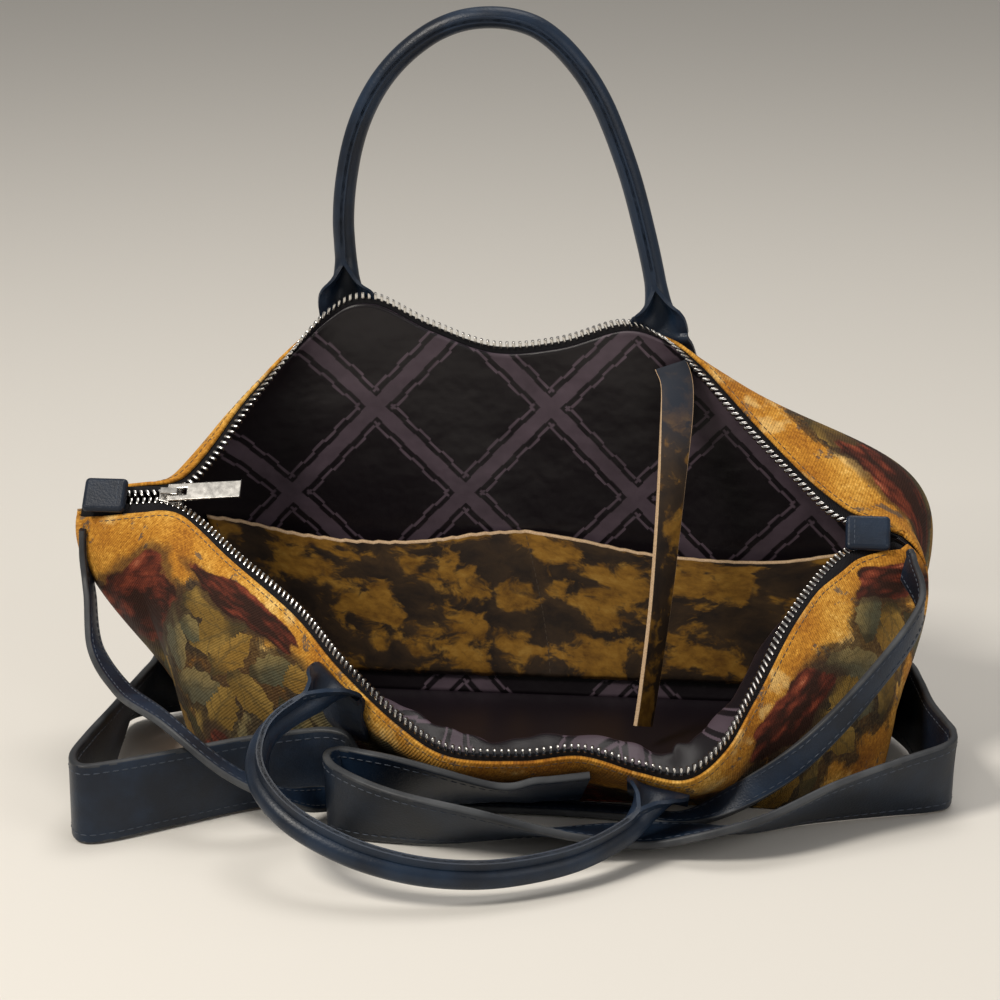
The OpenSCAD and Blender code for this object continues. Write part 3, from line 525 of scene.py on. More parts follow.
# %% The flowers' layout
# Each mark in millimetres: along the cloth from its middle, down from the zip, half length,
# half width, and its turn in degrees
ROSES = {
    FRONT: [[-203, 47, 26, 22, 0], [-141, 18, 36, 8.5, -4], [230, 21, 20, 9, 8], [141, 25, 29, 12, 6],
            [-66, 66, 24, 22, 30], [22, 60, 26, 24, 80], [92, 84, 22, 20, 10], [-130, 104, 20, 17, 40]],
    BACK: [[204, 44, 36, 13, 14], [128, 84, 27, 25, 60], [42, 58, 26, 24, 20], [-44, 96, 28, 25, 70],
           [-122, 60, 25, 23, 0], [-196, 78, 27, 24, 40], [60, 146, 26, 24, 10], [-120, 150, 25, 22, 90],
           [172, 140, 22, 20, 30], [-30, 34, 24, 10, -6]]}
LEAVES = {
    FRONT: [[-161, 31, 16, 8, -20], [-171, 58, 18, 9, 62], [-139, 44, 18, 9, -70], [-123, 57, 17, 9, 20],
            [-152, 72, 19, 9, -30], [-116, 36, 15, 8, -50], [-186, 80, 16, 8, 20], [-102, 29, 16, 8, -35],
            [-96, 58, 18, 9, 40], [180, 38, 18, 9, 50], [204, 45, 17, 8, 105], [161, 45, 18, 9, -25],
            [118, 44, 17, 8, 15], [205, 29, 15, 7, -25], [186, 58, 17, 8, -40], [226, 52, 17, 8, 75]],
    BACK: [[168, 34, 17, 8, 20], [232, 60, 17, 8, 70], [214, 74, 18, 9, 120], [176, 64, 18, 8, -35]]}
RING_FROM = 36
FRAME_SPAN = 4.0
# Steps that keep neighbouring leaves and roses from looking alike
STRAY, STRAY_B = 0.37, 0.61


def leaves_round(side, count, away, size):
    """A ring of leaves round every rose, apart from those that would cross the ochre border."""
    ring = []
    for n, (s, d, half_l, half_w, _) in enumerate(ROSES[side]):
        for k in range(count):
            a = 2 * math.pi * (k + STRAY * n) / count
            grown = size * (0.85 + 0.4 * ((STRAY * k + STRAY_B * n) % 1))
            place = [s + math.cos(a) * (half_l + away), d + math.sin(a) * (half_w + away)]
            if place[1] > RING_FROM:
                ring.append(place + [grown, grown * 0.5, math.degrees(a) + 30 * math.sin(7 * k + n)])
    return ring


def print_layer(piece, name, marks, s, d):
    """Stores, at the corners of each face of the cloth, the frame of the nearest mark of one layer."""
    corners = np.empty(len(piece.data.loops), int)
    piece.data.loops.foreach_get("vertex_index", corners)
    s, d = s[corners].reshape(-1, 4), d[corners].reshape(-1, 4)
    best = np.full(len(s), np.inf)
    stored = np.zeros((*s.shape, 4))
    for k, (cx, cy, half_l, half_w, angle) in enumerate(marks):
        q = math.radians(angle)
        a = ((s - cx) * math.cos(q) + (d - cy) * math.sin(q)) / half_l
        b = ((d - cy) * math.cos(q) - (s - cx) * math.sin(q)) / half_w
        reach = np.hypot(a.mean(1), b.mean(1))
        nearer = reach < best
        best[nearer] = reach[nearer]
        tone = np.full(s.shape, (STRAY * k) % 1)
        near = np.broadcast_to(np.exp(-reach[:, None]**2 / 2), s.shape)
        stored[nearer] = np.stack([a, b, tone, near], 2)[nearer]
    stored[..., :2] = np.clip(stored[..., :2] / FRAME_SPAN + 0.5, 0, 1)
    layer = piece.data.attributes.new(name, "FLOAT_COLOR", "CORNER")
    layer.data.foreach_set("color", stored.astype(np.float32).ravel())


for side in (FRONT, BACK):
    print("print", side, len(ROSES[side]), "roses and", len(LEAVES[side]), "leaves set by hand")

# %% [markdown]
# ## Tapestry
#
# Tapestry is drawn by its threads, so no line in it is quite straight. The shapes could be
# plain circles and leaves. Here every coordinate is first snapped to the threads and swayed
# by noise, so that edges break up as they do in a weave. The ground comes first, then two
# layers of leaves with their shadows, then the roses.

# %% Threads and marks
THREAD = (0.9, 0.7, 1.0)


def spin_threads(f):
    """The map and the noises that ground, leaves and roses share."""
    f.cloth = f.cloth_map()
    f.thread = f.vector("SNAP", f.cloth, THREAD)
    f.waver = f.noise(f.thread, 0.10, 4.0, 0.62)
    f.waver_b = f.noise(f.vector("ADD", f.thread, (71, 13, 0)), 0.12, 4.0, 0.62)
    f.fine = f.noise(f.thread, 0.6, 2.0, 0.7)
    f.x, f.y, _ = f.split(f.cloth)
    f.border = f.step(f.y, 11.0, 25.0)


def mark(f, name, warp):
    """The place in the nearest mark's frame, the mark's tone and how near it is."""
    stored = f.nodes.new("ShaderNodeAttribute")
    stored.attribute_name = name
    a, b, tone = f.split(stored.outputs["Vector"])
    a = f.plus(f.sway(a, FRAME_SPAN), f.sway(f.waver, warp))
    b = f.plus(f.sway(b, FRAME_SPAN), f.sway(f.waver_b, warp))
    return a, b, tone, stored.outputs["Alpha"]


# %% The ochre ground
def ochre_ground(f):
    wide = f.noise(f.thread, 0.018, 4.0, 0.6)
    patch = f.noise(f.vector("ADD", f.thread, (19, 47, 0)), 0.042, 4.0, 0.6)
    ground = f.ramp(f.times_plus(f.fine, 0.26, f.times(wide, 0.76)), [
        (0.32, (0.19, 0.060, 0.006)), (0.43, (0.36, 0.135, 0.012)), (0.51, (0.50, 0.215, 0.022)),
        (0.58, (0.63, 0.32, 0.05)), (0.68, (0.80, 0.52, 0.16))])
    ground = f.blend(f.times(f.step(patch, 0.56, 0.66), 0.55), ground, (0.84, 0.58, 0.22))
    flecks = f.step(f.noise(f.thread, 0.06, 5.0, 0.68), 0.595, 0.625)
    return f.blend(f.times(flecks, 0.8), ground, (0.10, 0.078, 0.062))


# %% Leaves
UNDER_TONES = [
    (0.0, (0.075, 0.055, 0.02)), (0.3, (0.10, 0.09, 0.05)),
    (0.6, (0.05, 0.04, 0.015)), (0.8, (0.16, 0.10, 0.026))]
OVER_TONES = [
    (0.0, (0.17, 0.098, 0.018)), (0.28, (0.095, 0.085, 0.048)),
    (0.55, (0.22, 0.12, 0.02)), (0.78, (0.08, 0.076, 0.042))]


def leaf_layer(f, name, colour, tones):
    """Toothed and veined leaves, each in a brown shadow, over what lies below."""
    a, b, tone, near = mark(f, name, 0.7)
    shade = f.step(f.plus(near, f.sway(f.waver, 0.8)), 0.30, 0.50)
    gloom = f.ramp(f.fine, [
        (0.3, (0.018, 0.011, 0.007)), (0.55, (0.042, 0.027, 0.013)), (0.75, (0.09, 0.06, 0.022))])
    colour = f.blend(f.times(shade, f.times(f.border, 0.9)), colour, gloom)
    side_b = f.math("ABSOLUTE", b)
    edge = f.minus(1.0, f.times(a, a))
    teeth = f.times_plus(f.math("SINE", f.times(a, 15.0)), 0.10, 0.95)
    inside = f.math("LESS_THAN", side_b, f.times(edge, teeth))
    body = f.ramp(tone, tones, smooth=False)
    lit = f.step(f.minus(f.sway(f.waver, 1.6), b), -0.35, 0.75)
    body = f.blend(f.times(lit, 0.7), body, f.blend(0.32, body, (0.56, 0.36, 0.09)))
    deep = f.step(f.minus(f.sway(f.waver_b, 1.4), a), 0.15, 0.95)
    body = f.blend(f.times(deep, 0.9), body, (0.036, 0.026, 0.012))
    slant = f.math("SINE", f.times_plus(side_b, -7.0, f.times(a, 12.0)))
    veins = f.math("MAXIMUM", f.math("GREATER_THAN", slant, 0.9), f.math("LESS_THAN", side_b, 0.07))
    body = f.blend(f.times(veins, 0.42), body, (0.06, 0.045, 0.018))
    return f.blend(inside, colour, body)


# %% Roses
def rose_layer(f, colour):
    """Scalloped roses with cells for petals, each in a narrow shadow."""
    a, b, tone, _ = mark(f, "rose", 0.6)
    radius = f.math("SQRT", f.plus(f.times(a, a), f.times(b, b)))
    lobes = f.times_plus(tone, 20.0, f.times(f.math("ARCTAN2", b, a), 5.0))
    edge = f.plus(radius, f.times(f.math("SINE", lobes), 0.09))
    gloom = f.step(f.plus(edge, f.sway(f.waver, 0.5)), 1.28, 1.02)
    colour = f.blend(f.times(gloom, f.times(f.border, 0.75)), colour, (0.042, 0.022, 0.012))
    place = f.add("CombineXYZ", {0: a, 1: f.times(b, 1.25), 2: f.times(tone, 9.0)})
    petals = f.add("TexVoronoi", {"Vector": place, "Scale": 2.1, "Randomness": 0.9}, feature="F1")
    strokes = f.noise(f.vector("MULTIPLY", f.thread, (0.35, 1.0, 1.0)), 0.42, 3.0, 0.65)
    tint = f.times_plus(b, -0.14, f.times_plus(strokes, 0.75, 0.52))
    tint = f.times_plus(petals, -0.95, tint)
    tint = f.minus(tint, f.times(f.step(radius, 0.42, 0.1), 0.22))
    rose = f.ramp(tint, [
        (0.24, (0.026, 0.008, 0.004)), (0.46, (0.080, 0.016, 0.008)), (0.66, (0.165, 0.032, 0.014)),
        (0.82, (0.25, 0.060, 0.026)), (0.96, (0.38, 0.12, 0.06))])
    return f.blend(f.step(edge, 1.0, 0.88), colour, rose)


# %% The weave and the whole finish
RIB, WEFT = 1.15, 0.62


def tapestry_finish():
    f = Finish("tapestry")
    spin_threads(f)
    colour = leaf_layer(f, "leaf_under", ochre_ground(f), UNDER_TONES)
    colour = leaf_layer(f, "leaf_over", colour, OVER_TONES)
    colour = rose_layer(f, colour)
    # Thread tone varies by noise, and the ribs' hollows are painted a little darker along the same wave as
    # the bump: painted shade of the ribs.
    rib = f.wave(f.plus(f.times(f.x, 0.85), f.times(f.y, 0.55)), RIB)
    yarn_and_rib_shade = f.times_plus(rib, 0.07, f.times_plus(f.fine, 1.0, 0.5))
    yarn_and_rib_shade_colour = f.add("CombineColor", {0: yarn_and_rib_shade, 1: yarn_and_rib_shade, 2: yarn_and_rib_shade})
    colour = f.blend(1.0, colour, yarn_and_rib_shade_colour, "MULTIPLY")
    normal = f.bump(f.plus(rib, f.times(f.wave(f.y, WEFT), 0.5)), 0.08)
    normal = f.bump(f.noise(f.cloth, 0.06, 2.0), 0.9, normal)
    return f.finish(base_color=colour, roughness=0.74, sheen_weight=0.03, sheen_roughness=0.5,
                    specular_ior_level=0.2, normal=normal)


tapestry = tapestry_finish()
print(tapestry.name, len(tapestry.node_tree.nodes), "nodes")

# %% [markdown]
# ## The walls
#
# Each wall is one pattern piece from the folded edge beside the zip to the seam at the base.
# A closed bag could be one tube, but here the mouth is open and each wall falls its own way.
# So each is laid on its own loft, printed, and given the cloth's thickness towards the inside.

# %% The tapestry walls
PANEL_COLUMNS, PANEL_ROWS = 280, 100
FOLD_UP, FOLD_ENDS, FOLD_RUN = 2.6, 0.06, 0.05
FLOOR_CLEAR = 0.1


def folded_edge(t):
    """Depth of the cloth's folded edge: closer to the teeth than the solids', except at the caps."""
    return CLOTH_EDGE - FOLD_UP * ease((t - FOLD_ENDS) / FOLD_RUN) * ease((1 - FOLD_ENDS - t) / FOLD_RUN)


def wall_piece(side, name, columns, rows, top, bottom_gap, off, lean=None, level=False):
    """A piece of the wall from a depth of top down to bottom_gap above the foot.

    Its map follows the cloth, or width and height where it is level."""
    wall = walls[side]

    def where(u, v):
        v = 1 - v if side < 0 else v
        start = top(u) if callable(top) else top
        return u, start + v * (wall.length(u) - bottom_gap - start)

    def place(u, v):
        t, d = where(u, v)
        laid = wall.at(t, d, off(t, d) if callable(off) else np.full(len(t), float(off)))
        return laid + lean(t, d) if lean else laid

    def mapping(u, v):
        t, d = where(u, v)
        if level:
            return wall.at(t, d)[:, [0, 2]]
        return np.stack([wall.spread(t, d), d], 1)

    piece = lay_grid(name, columns, rows, place, mapping)
    flat = np.stack([np.tile(np.linspace(0, 1, columns + 1), rows + 1),
                     np.repeat(np.linspace(0, 1, rows + 1), columns + 1)])
    t, d = where(*flat)
    return piece, wall.spread(t, d), d


for side, word in ((FRONT, "front"), (BACK, "back")):
    piece, s, d = wall_piece(side, word + "_tapestry", PANEL_COLUMNS, PANEL_ROWS, folded_edge, 0, CLOTH_OUT)
    print_layer(piece, "rose", ROSES[side], s, d)
    print_layer(piece, "leaf_over", LEAVES[side] + leaves_round(side, 5, 14, 15), s, d)
    print_layer(piece, "leaf_under", leaves_round(side, 7, 6, 22), s, d)
    thicken(piece, CLOTH_T)
    for vertex in piece.data.vertices:
        vertex.co.z = max(vertex.co.z, FLOOR_CLEAR * MM)
    dress(piece, tapestry, replaces=[word + "_panel"])

# %% [markdown]
# ## Lining
#
# The lining is a dark satin with a woven lattice: broad bands that cross, each between two
# thin stepped lines. The bands could be modelled, but satin is flat, so they are drawn by
# nodes, from how far a point is from the nearest band.

# %% The satin finish
DIAMOND_W, DIAMOND_H = 82.0, 87.0
CROSSING = (-42.0, 103.5, 0)
BAND_HALF, LINE_OFF, LINE_END = 3.4, 5.9, 4.2


def satin_finish():
    f = Finish("lining_satin")
    cloth = f.cloth_map()
    x, y, _ = f.split(f.vector("SNAP", f.vector("SUBTRACT", cloth, CROSSING), (0.5, 0.5, 1)))
    across, down = f.times(x, 1 / DIAMOND_W), f.times(y, 1 / DIAMOND_H)
    spacing = 1 / math.hypot(1 / DIAMOND_W, 1 / DIAMOND_H)

    def from_line(line):
        share = f.minus(f.math("FRACT", f.plus(line, 0.5)), 0.5)
        return f.times(f.math("ABSOLUTE", share), spacing)

    def band(line, other):
        off = from_line(line)
        jog = f.math("SNAP", f.wave(other, 1 / 4), 1.0)
        core = f.step(f.times_plus(jog, 0.4, off), BAND_HALF, BAND_HALF - 0.4)
        thin = f.math("ABSOLUTE", f.minus(f.times_plus(jog, 0.9, off), LINE_OFF))
        thin = f.times(f.step(thin, 0.75, 0.5), f.step(from_line(other), LINE_END, LINE_END + 0.5))
        return f.math("MAXIMUM", f.times(core, 0.72), f.times(thin, 0.85))

    one, two = f.plus(across, down), f.minus(across, down)
    lattice = f.math("MAXIMUM", band(one, two), band(two, one))
    share = f.times(lattice, f.times_plus(f.noise(cloth, 0.05, 3.0, 0.6), 1.3, 0.3))
    colour = f.blend(share, (0.006, 0.004, 0.0055), (0.096, 0.068, 0.088))
    normal = f.bump(f.wave(f.split(cloth)[0], 0.45), 0.012)
    normal = f.bump(f.noise(cloth, 0.035, 3.0, 0.5), 1.6, normal)
    rough = f.times_plus(lattice, 0.12, 0.36)
    return f.finish(base_color=colour, roughness=rough, sheen_weight=0.12, sheen_roughness=0.35,
                    sheen_tint=(0.62, 0.42, 0.66), specular_ior_level=0.36, normal=normal)


satin = satin_finish()
print(satin.name, len(satin.node_tree.nodes), "nodes")

# %% [markdown]
# The lining is sewn to the zip tape and hangs inside the walls. At the back it lies close. At
# the front the wall has slumped, so its lining has room and stands off in soft folds. A cloth
# simulation could find them, but a few waves are steadier and look the same each time.

# %% The lining pieces
LINING_COLUMNS, LINING_ROWS = 260, 90
LINING_FOOT = BASE_T + LAYER_GAP
LINING_TOP = 4.5
SLACK = [0, 1, 9, 16, 17, 16, 17, 18, 5]
LEAN = [0, 0, 0, 0, 0, 1, 9, 17, 7]
HELD_RUN, FREE_TO, FREE_RUN = 15, 24, 64
# Each fold: its size, its angle over the whole zip, its angle for each millimetre down, its start
FOLDS = [[0.06, 83, 0.03, 0], [0.05, 47, -0.05, 1], [0.03, 171, 0.06, 0]]


def loose(d):
    """How free the lining is at a depth: held at the zip, free below it and held again lower down."""
    return ease((d - LINING_TOP) / HELD_RUN) * (1 - ease((d - FREE_TO) / FREE_RUN))


def lining_slack(t, d):
    """How far the loose front lining stands in from the wall, in soft folds."""
    folds = 0.9
    for size, turn, slant, start in FOLDS:
        folds = folds + size * np.sin(t * turn + d * slant + start)
    return -LINING_OUT - np.maximum(even(SLACK, t), 0) * loose(d) * folds


def lining_lean(t, d):
    """The same lining's fall away from the bag's right end."""
    return np.outer(np.maximum(even(LEAN, t), 0) * loose(d), [-1, 0, 0.3])


for side, word in ((FRONT, "front"), (BACK, "back")):
    off, lean = (lining_slack, lining_lean) if side == FRONT else (-LINING_OUT, None)
    piece, _, _ = wall_piece(side, word + "_lining_satin", LINING_COLUMNS, LINING_ROWS,
                             LINING_TOP, LINING_FOOT, off, lean, level=True)
    thicken(piece, LINING_T)
    dress(piece, satin, replaces=["lining_" + word])
dress(bpy.data.objects["lining_base"], satin, body=None)

# %% [markdown]
# ## Leather finishes
#
# Navy leather is smooth with a fine pebble grain. The printed leather inside has ochre
# foliage on brown, goes over to navy near the zip, and shows its pale core where it is cut.
# Grain could be sculpted, but it is finer than the mesh, so cells and pores are bump.


# %% Navy leather
def leather_finish(name, dark, light, rough, grain):
    f = Finish(name)
    place = f.place_mm()
    cells = f.add("TexVoronoi", {"Vector": place, "Scale": 1.15}, feature="SMOOTH_F1")
    pores = f.noise(place, 2.4, 4.0, 0.6)
    cloud = f.noise(place, 0.03, 4.0, 0.6)
    colour = f.blend(f.step(cloud, 0.35, 0.68), dark, light)
    shine = f.times_plus(pores, 0.16, f.times_plus(cloud, 0.12, rough - 0.14))
    normal = f.bump(pores, grain * 0.6, f.bump(cells, grain))
    return f.finish(base_color=colour, roughness=shine, specular_ior_level=0.34, normal=normal)


navy = leather_finish("navy_leather", (0.0045, 0.0090, 0.019), (0.010, 0.0225, 0.047), 0.40, 0.07)
navy_inner = leather_finish("navy_inner", (0.0040, 0.0070, 0.013), (0.0085, 0.0165, 0.032), 0.46, 0.07)
edge_paint = leather_finish("edge_paint", (0.022, 0.024, 0.028), (0.060, 0.064, 0.070), 0.5, 0.05)
print("leathers:", navy.name, navy_inner.name, edge_paint.name)

# %% Printed leather, cut edges and thread
NAVY_FROM, NAVY_FULL = 126, 156


def printed_finish():
    f = Finish("printed_leather")
    cloth = f.cloth_map()
    warp = f.vector("ADD", cloth, f.vector("MULTIPLY", f.noise(cloth, 0.05, 2.0, output=1), (16, 16, 0)))
    leaves = f.times(f.step(f.noise(warp, 0.034, 5.0, 0.62), 0.475, 0.555), 0.92)
    ochre = f.ramp(f.noise(cloth, 0.11, 4.0, 0.65), [
        (0.3, (0.13, 0.055, 0.008)), (0.55, (0.34, 0.165, 0.022)), (0.75, (0.47, 0.26, 0.05))])
    brown = f.ramp(f.noise(warp, 0.07, 4.0, 0.6), [
        (0.35, (0.022, 0.014, 0.010)), (0.6, (0.055, 0.032, 0.016)), (0.75, (0.095, 0.055, 0.022))])
    height = f.split(f.place_mm())[2]
    dyed = f.times(f.step(height, NAVY_FROM, NAVY_FULL), 0.9)
    colour = f.blend(dyed, f.blend(leaves, brown, ochre), (0.012, 0.019, 0.034))
    normal = f.bump(f.noise(cloth, 1.4, 3.0, 0.6), 0.05)
    return f.finish(base_color=colour, roughness=0.62, specular_ior_level=0.35, normal=normal)


def cut_finish():
    f = Finish("cut_edge")
    fibres = f.noise(f.place_mm(), 1.1, 3.0, 0.6)
    colour = f.ramp(fibres, [(0.3, (0.46, 0.30, 0.17)), (0.7, (0.66, 0.47, 0.29))])
    return f.finish(base_color=colour, roughness=0.85, normal=f.bump(fibres, 0.08))


def thread_finish(name, colour, light):
    f = Finish(name)
    twist = f.noise(f.place_mm(), 3.2, 2.0)
    return f.finish(base_color=f.blend(twist, colour, light), roughness=0.6, sheen_weight=0.2)


printed = printed_finish()
cut_edge = cut_finish()
navy_thread = thread_finish("navy_thread", (0.010, 0.016, 0.030), (0.040, 0.058, 0.090))
brown_thread = thread_finish("brown_thread", (0.035, 0.022, 0.012), (0.085, 0.055, 0.030))
print("finishes:", printed.name, cut_edge.name, navy_thread.name, brown_thread.name)

# %% [markdown]
# ## Stitches
#
# One stitch is a small rounded bar of thread. A seam could be a dashed bump, but real stitches
# stand up and catch the light. So a sphere is stretched into one stitch, and the seam is many
# copies laid end to end along a line.


# %% Stitches along a line
def stitch_model(length, width, height):
    bpy.ops.object.select_all(action="DESELECT")
    bpy.ops.mesh.primitive_uv_sphere_add(segments=6, ring_count=4, radius=0.5)
    model = bpy.context.object
    bpy.ops.object.mode_set(mode="EDIT")
    bpy.ops.mesh.select_all(action="SELECT")
    bpy.ops.transform.rotate(value=math.pi / 2, orient_axis="Y", center_override=(0, 0, 0))
    bpy.ops.transform.resize(value=(length * MM, width * MM, height * MM), center_override=(0, 0, 0))
    bpy.ops.object.mode_set(mode="OBJECT")
    return model


def seam(name, lines, stitch, material, body="bag", blend=None):
    """Stitches of a pitch and a size along lines, each of points and the directions that face out."""
    pitch, *size = stitch
    centres, frames = [], []
    for points, outs in lines:
        run = run_lengths(points)
        for stop in np.arange(pitch / 2, run[-1], pitch):
            x = unit(reading(stop + 0.5, run, points) - reading(stop - 0.5, run, points))
            out = reading(stop, run, outs)
            z = unit(out - x * np.dot(out, x))
            centres.append(reading(stop, run, points))
            frames.append([x, np.cross(z, x), z])
    model = stitch_model(*size)
    piece = copies(name, model, centres, frames)
    bpy.data.objects.remove(model)
    dress(piece, material, body=None if blend else body)
    if blend:
        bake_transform(piece)


# %% The seam beside the zip
TOPSTITCH, TOPSTITCH_DOWN, TOPSTITCH_ENDS = (3.2, 2.6, 0.55, 0.4), 2.2, 0.02


def edge_line(side, down, count=200):
    """A line along the wall's folded edge, a little below it, with its outward directions."""
    wall = walls[side]
    t = np.linspace(TOPSTITCH_ENDS, 1 - TOPSTITCH_ENDS, count)
    d = folded_edge(t) + down
    return wall.at(t, d, np.full(count, CLOTH_OUT)), wall.out(t, d)


seam("wall_topstitch", [edge_line(side, TOPSTITCH_DOWN) for side in walls], TOPSTITCH, brown_thread)

# %% [markdown]
# ## Pocket
#
# The pocket is a sheet of printed leather across the back lining, held at its ends and by one
# line of stitches down the middle, so it puffs into two halves. It could be a box, but leather
# that hangs open has a wavy edge. So it is a pattern laid off the lining by a puff that is
# widest at the open top.

# %% The pocket
POCKET_ENDS = [0.14, 0.86]
POCKET_WAVE = [1.16, 1.02, 0.98, 1.02, 1.0, 0.93, 0.92, 1.04]
POCKET_FOOT, PUFF_POWER, POCKET_CLEAR = 0.14, 0.7, 0.9
POCKET_L, POCKET_COLUMNS, POCKET_ROWS, ROW_POWER = 250, 120, 36, 1.15
POCKET_SEAMS, POCKET_STITCH = (0.5, 0.012, 0.988), (3.2, 2.5, 0.5, 0.4)
back = walls[BACK]


def pocket_place(q, r, off):
    """A point of the pocket at a share q along it and r down it, off its back face."""
    t = POCKET_ENDS[0] + q * (POCKET_ENDS[1] - POCKET_ENDS[0])
    top = POCKET_H * even(POCKET_WAVE, q)
    z = top + r * (POCKET_H * POCKET_FOOT - top)
    puff = POCKET_ROOM * np.abs(np.sin(2 * np.pi * q))**PUFF_POWER * np.sqrt(np.maximum(1 - r * r, 0))
    d = back.depth_at_height(t, z)
    return back.at(t, d, -(LINING_IN + POCKET_CLEAR + puff + off)), -back.out(t, d)


piece = lay_grid("pocket_leather", POCKET_COLUMNS, POCKET_ROWS,
                 lambda u, v: pocket_place(u, (1 - v)**ROW_POWER, POCKET_T)[0],
                 lambda u, v: np.stack([u * POCKET_L, v * POCKET_H], 1))
piece.data.materials.append(printed)
piece.data.materials.append(cut_edge)
for face in piece.data.polygons:
    face.material_index = int(face.index >= POCKET_COLUMNS * (POCKET_ROWS - 1))
thicken(piece, POCKET_T, rim_slot=1)
dress(piece, [printed, cut_edge], replaces=["pocket"])
down = np.linspace(0.03, 0.98, 40)
seam("pocket_stitch", [pocket_place(np.full(40, q), down, POCKET_T) for q in POCKET_SEAMS],
     POCKET_STITCH, brown_thread)

# %% [markdown]
# ## Bands of leather
#
# The strip and the straps are flat bands with rounded edges. Each could be a bevelled curve,
# but a curve's own twist is hard to hold. Here every station of a route has its width
# direction, and a rounded section is swept through the stations.


# %% Bands swept along a route
def sweep(name, centres, widths, outs, width, thick, steps, across=4, corner=0.8):
    """A flat band with rounded edges along a route of stations."""
    stop = np.linspace(0, len(centres) - 1, steps + 1)
    c, w, o = spline(centres, stop), spline(widths, stop), spline(outs, stop)
    run = unit(np.gradient(c, axis=0))
    w = unit(w - run * np.sum(w * run, 1, keepdims=True))
    n = np.cross(run, w)
    n *= np.sign(np.sum(n * o))
    r = min(corner, thick / 2 - 0.05)
    half_w, half_t = width / 2, thick / 2
    ring = []
    for sx, sy, start in ((1, 1, 0), (-1, 1, 90), (-1, -1, 180), (1, -1, 270)):
        for k in range(across):
            a = math.radians(start + 90 * k / (across - 1))
            ring.append([sx * (half_w - r) + r * math.cos(a), sy * (half_t - r) + r * math.sin(a)])
    ring = np.array(ring + ring[:1])
    count = len(ring) - 1
    length, ring_walk = run_lengths(c), run_lengths(ring)

    def which(u, v):
        return np.round(u * count).astype(int), np.round(v * steps).astype(int)

    def place(u, v):
        j, k = which(u, v)
        return c[k] + w[k] * ring[j, :1] + n[k] * ring[j, 1:]

    def mapping(u, v):
        j, k = which(u, v)
        return np.stack([ring_walk[j], length[k]], 1)

    piece = lay_grid(name, count, steps, place, mapping)
    close_tube(piece)
    return piece, (c, w, n)


# %% Faces and stitch lines of a band
EDGE_IN, STITCH_UP = 0.9, 0.05


def face_slots(piece, lines, width):
    """Sorts a band's faces: outer face 0, inner face 1, edges 2."""
    c, w, n = lines
    for face in piece.data.polygons:
        centre = np.array(face.center) / MM
        k = np.argmin(np.sum((c - centre)**2, 1))
        off = centre - c[k]
        if abs(np.dot(off, w[k])) > width / 2 - EDGE_IN:
            face.material_index = 2
        else:
            face.material_index = 0 if np.dot(off, n[k]) > 0 else 1


def band_lines(lines, width, thick, inset):
    """Lines for stitches beside both edges on both faces, short of the band's ends."""
    c, w, n = [x[2:-2] for x in lines]
    return [(c + w * edge * (width / 2 - inset) + n * f * (thick / 2 + STITCH_UP), n * f)
            for edge in (1, -1) for f in (1, -1)]


# %% [markdown]
# The hanging strip is one band of the printed leather, sewn to the lining beside the pocket.
# It comes away from the wall, turns a little and hangs into the bag.

# %% The hanging strip
STRIP_PLACE, STRIP_CLEAR = 0.682, 2.2
STRIP_ROUTE = [
    [0.375, 0.46, 0.64, 0.4], [0.352, 0.22, 0.36, 0.6], [0.325, 0, 0.16, 0.68], [0.31, -0.1, 0.07, 0.7]]
strip_ends = [(TAPE_W + 2 * STRIP_T, STRIP_CLEAR), (TAPE_W + STRIP_W, 4 * STRIP_CLEAR)]
strip_points = [back.at(STRIP_PLACE, d, -(LINING_IN + clear + STRIP_T / 2)) for d, clear in strip_ends]
strip_points += [[x * BASE_W / 2, y * BASE_D / 2, z * PEAK_H] for x, y, z, _ in STRIP_ROUTE]
strip_turns = [math.pi / 2 * turn for *_, turn in STRIP_ROUTE]
strip_across = [back.along(STRIP_PLACE, d) for d, _ in strip_ends]
strip_across += [[math.cos(a), math.sin(a), 0] for a in strip_turns]
strip_face = np.tile([0, -1.0, 0], (len(strip_points), 1))
piece, lines = sweep("strip_leather", np.array(strip_points), np.array(strip_across), strip_face,
                     STRIP_W, STRIP_T, 60, corner=0.3)
face_slots(piece, lines, STRIP_W)
dress(piece, [printed, printed, cut_edge], replaces=["hanging_strip"])

# %% [markdown]
# ## Zip
#
# Two woven tapes carry the teeth. The tape's weave is too fine to model, so it is bump, and its
# shade is painted into the tape's colour. A tooth is a small bright bar with rounded edges. It
# could be cast with its waist and hook, but from where one sees a zip only the bars show. It is
# modelled once and set every three millimetres along the edge of each tape.

# %% Tape and metal finishes
TAPE_WEAVE = 0.9


def tape_finish():
    f = Finish("zip_tape")
    x, y, _ = f.split(f.cloth_map())
    weave = f.plus(f.wave(f.plus(x, y), TAPE_WEAVE), f.wave(f.minus(x, y), TAPE_WEAVE))
    # Raised crossings of the weave are painted lighter and its hollows darker, along the same wave as the
    # bump: painted shade of the weave.
    colour = f.blend(f.step(weave, -1.5, 1.5), (0.004, 0.004, 0.005), (0.016, 0.015, 0.018))
    return f.finish(base_color=colour, roughness=0.75, specular_ior_level=0.2, normal=f.bump(weave, 0.08))


def metal_finish():
    f = Finish("zip_metal")
    place = f.place_mm()
    smear = f.noise(place, 0.35, 4.0, 0.6)
    colour = f.blend(smear, (0.52, 0.50, 0.47), (0.74, 0.72, 0.69))
    normal = f.bump(f.noise(place, 3.0, 2.0), 0.006)
    return f.finish(base_color=colour, metallic=1.0, roughness=f.times_plus(smear, 0.16, 0.13), normal=normal)


tape = tape_finish()
metal = metal_finish()
print("finishes:", tape.name, metal.name)

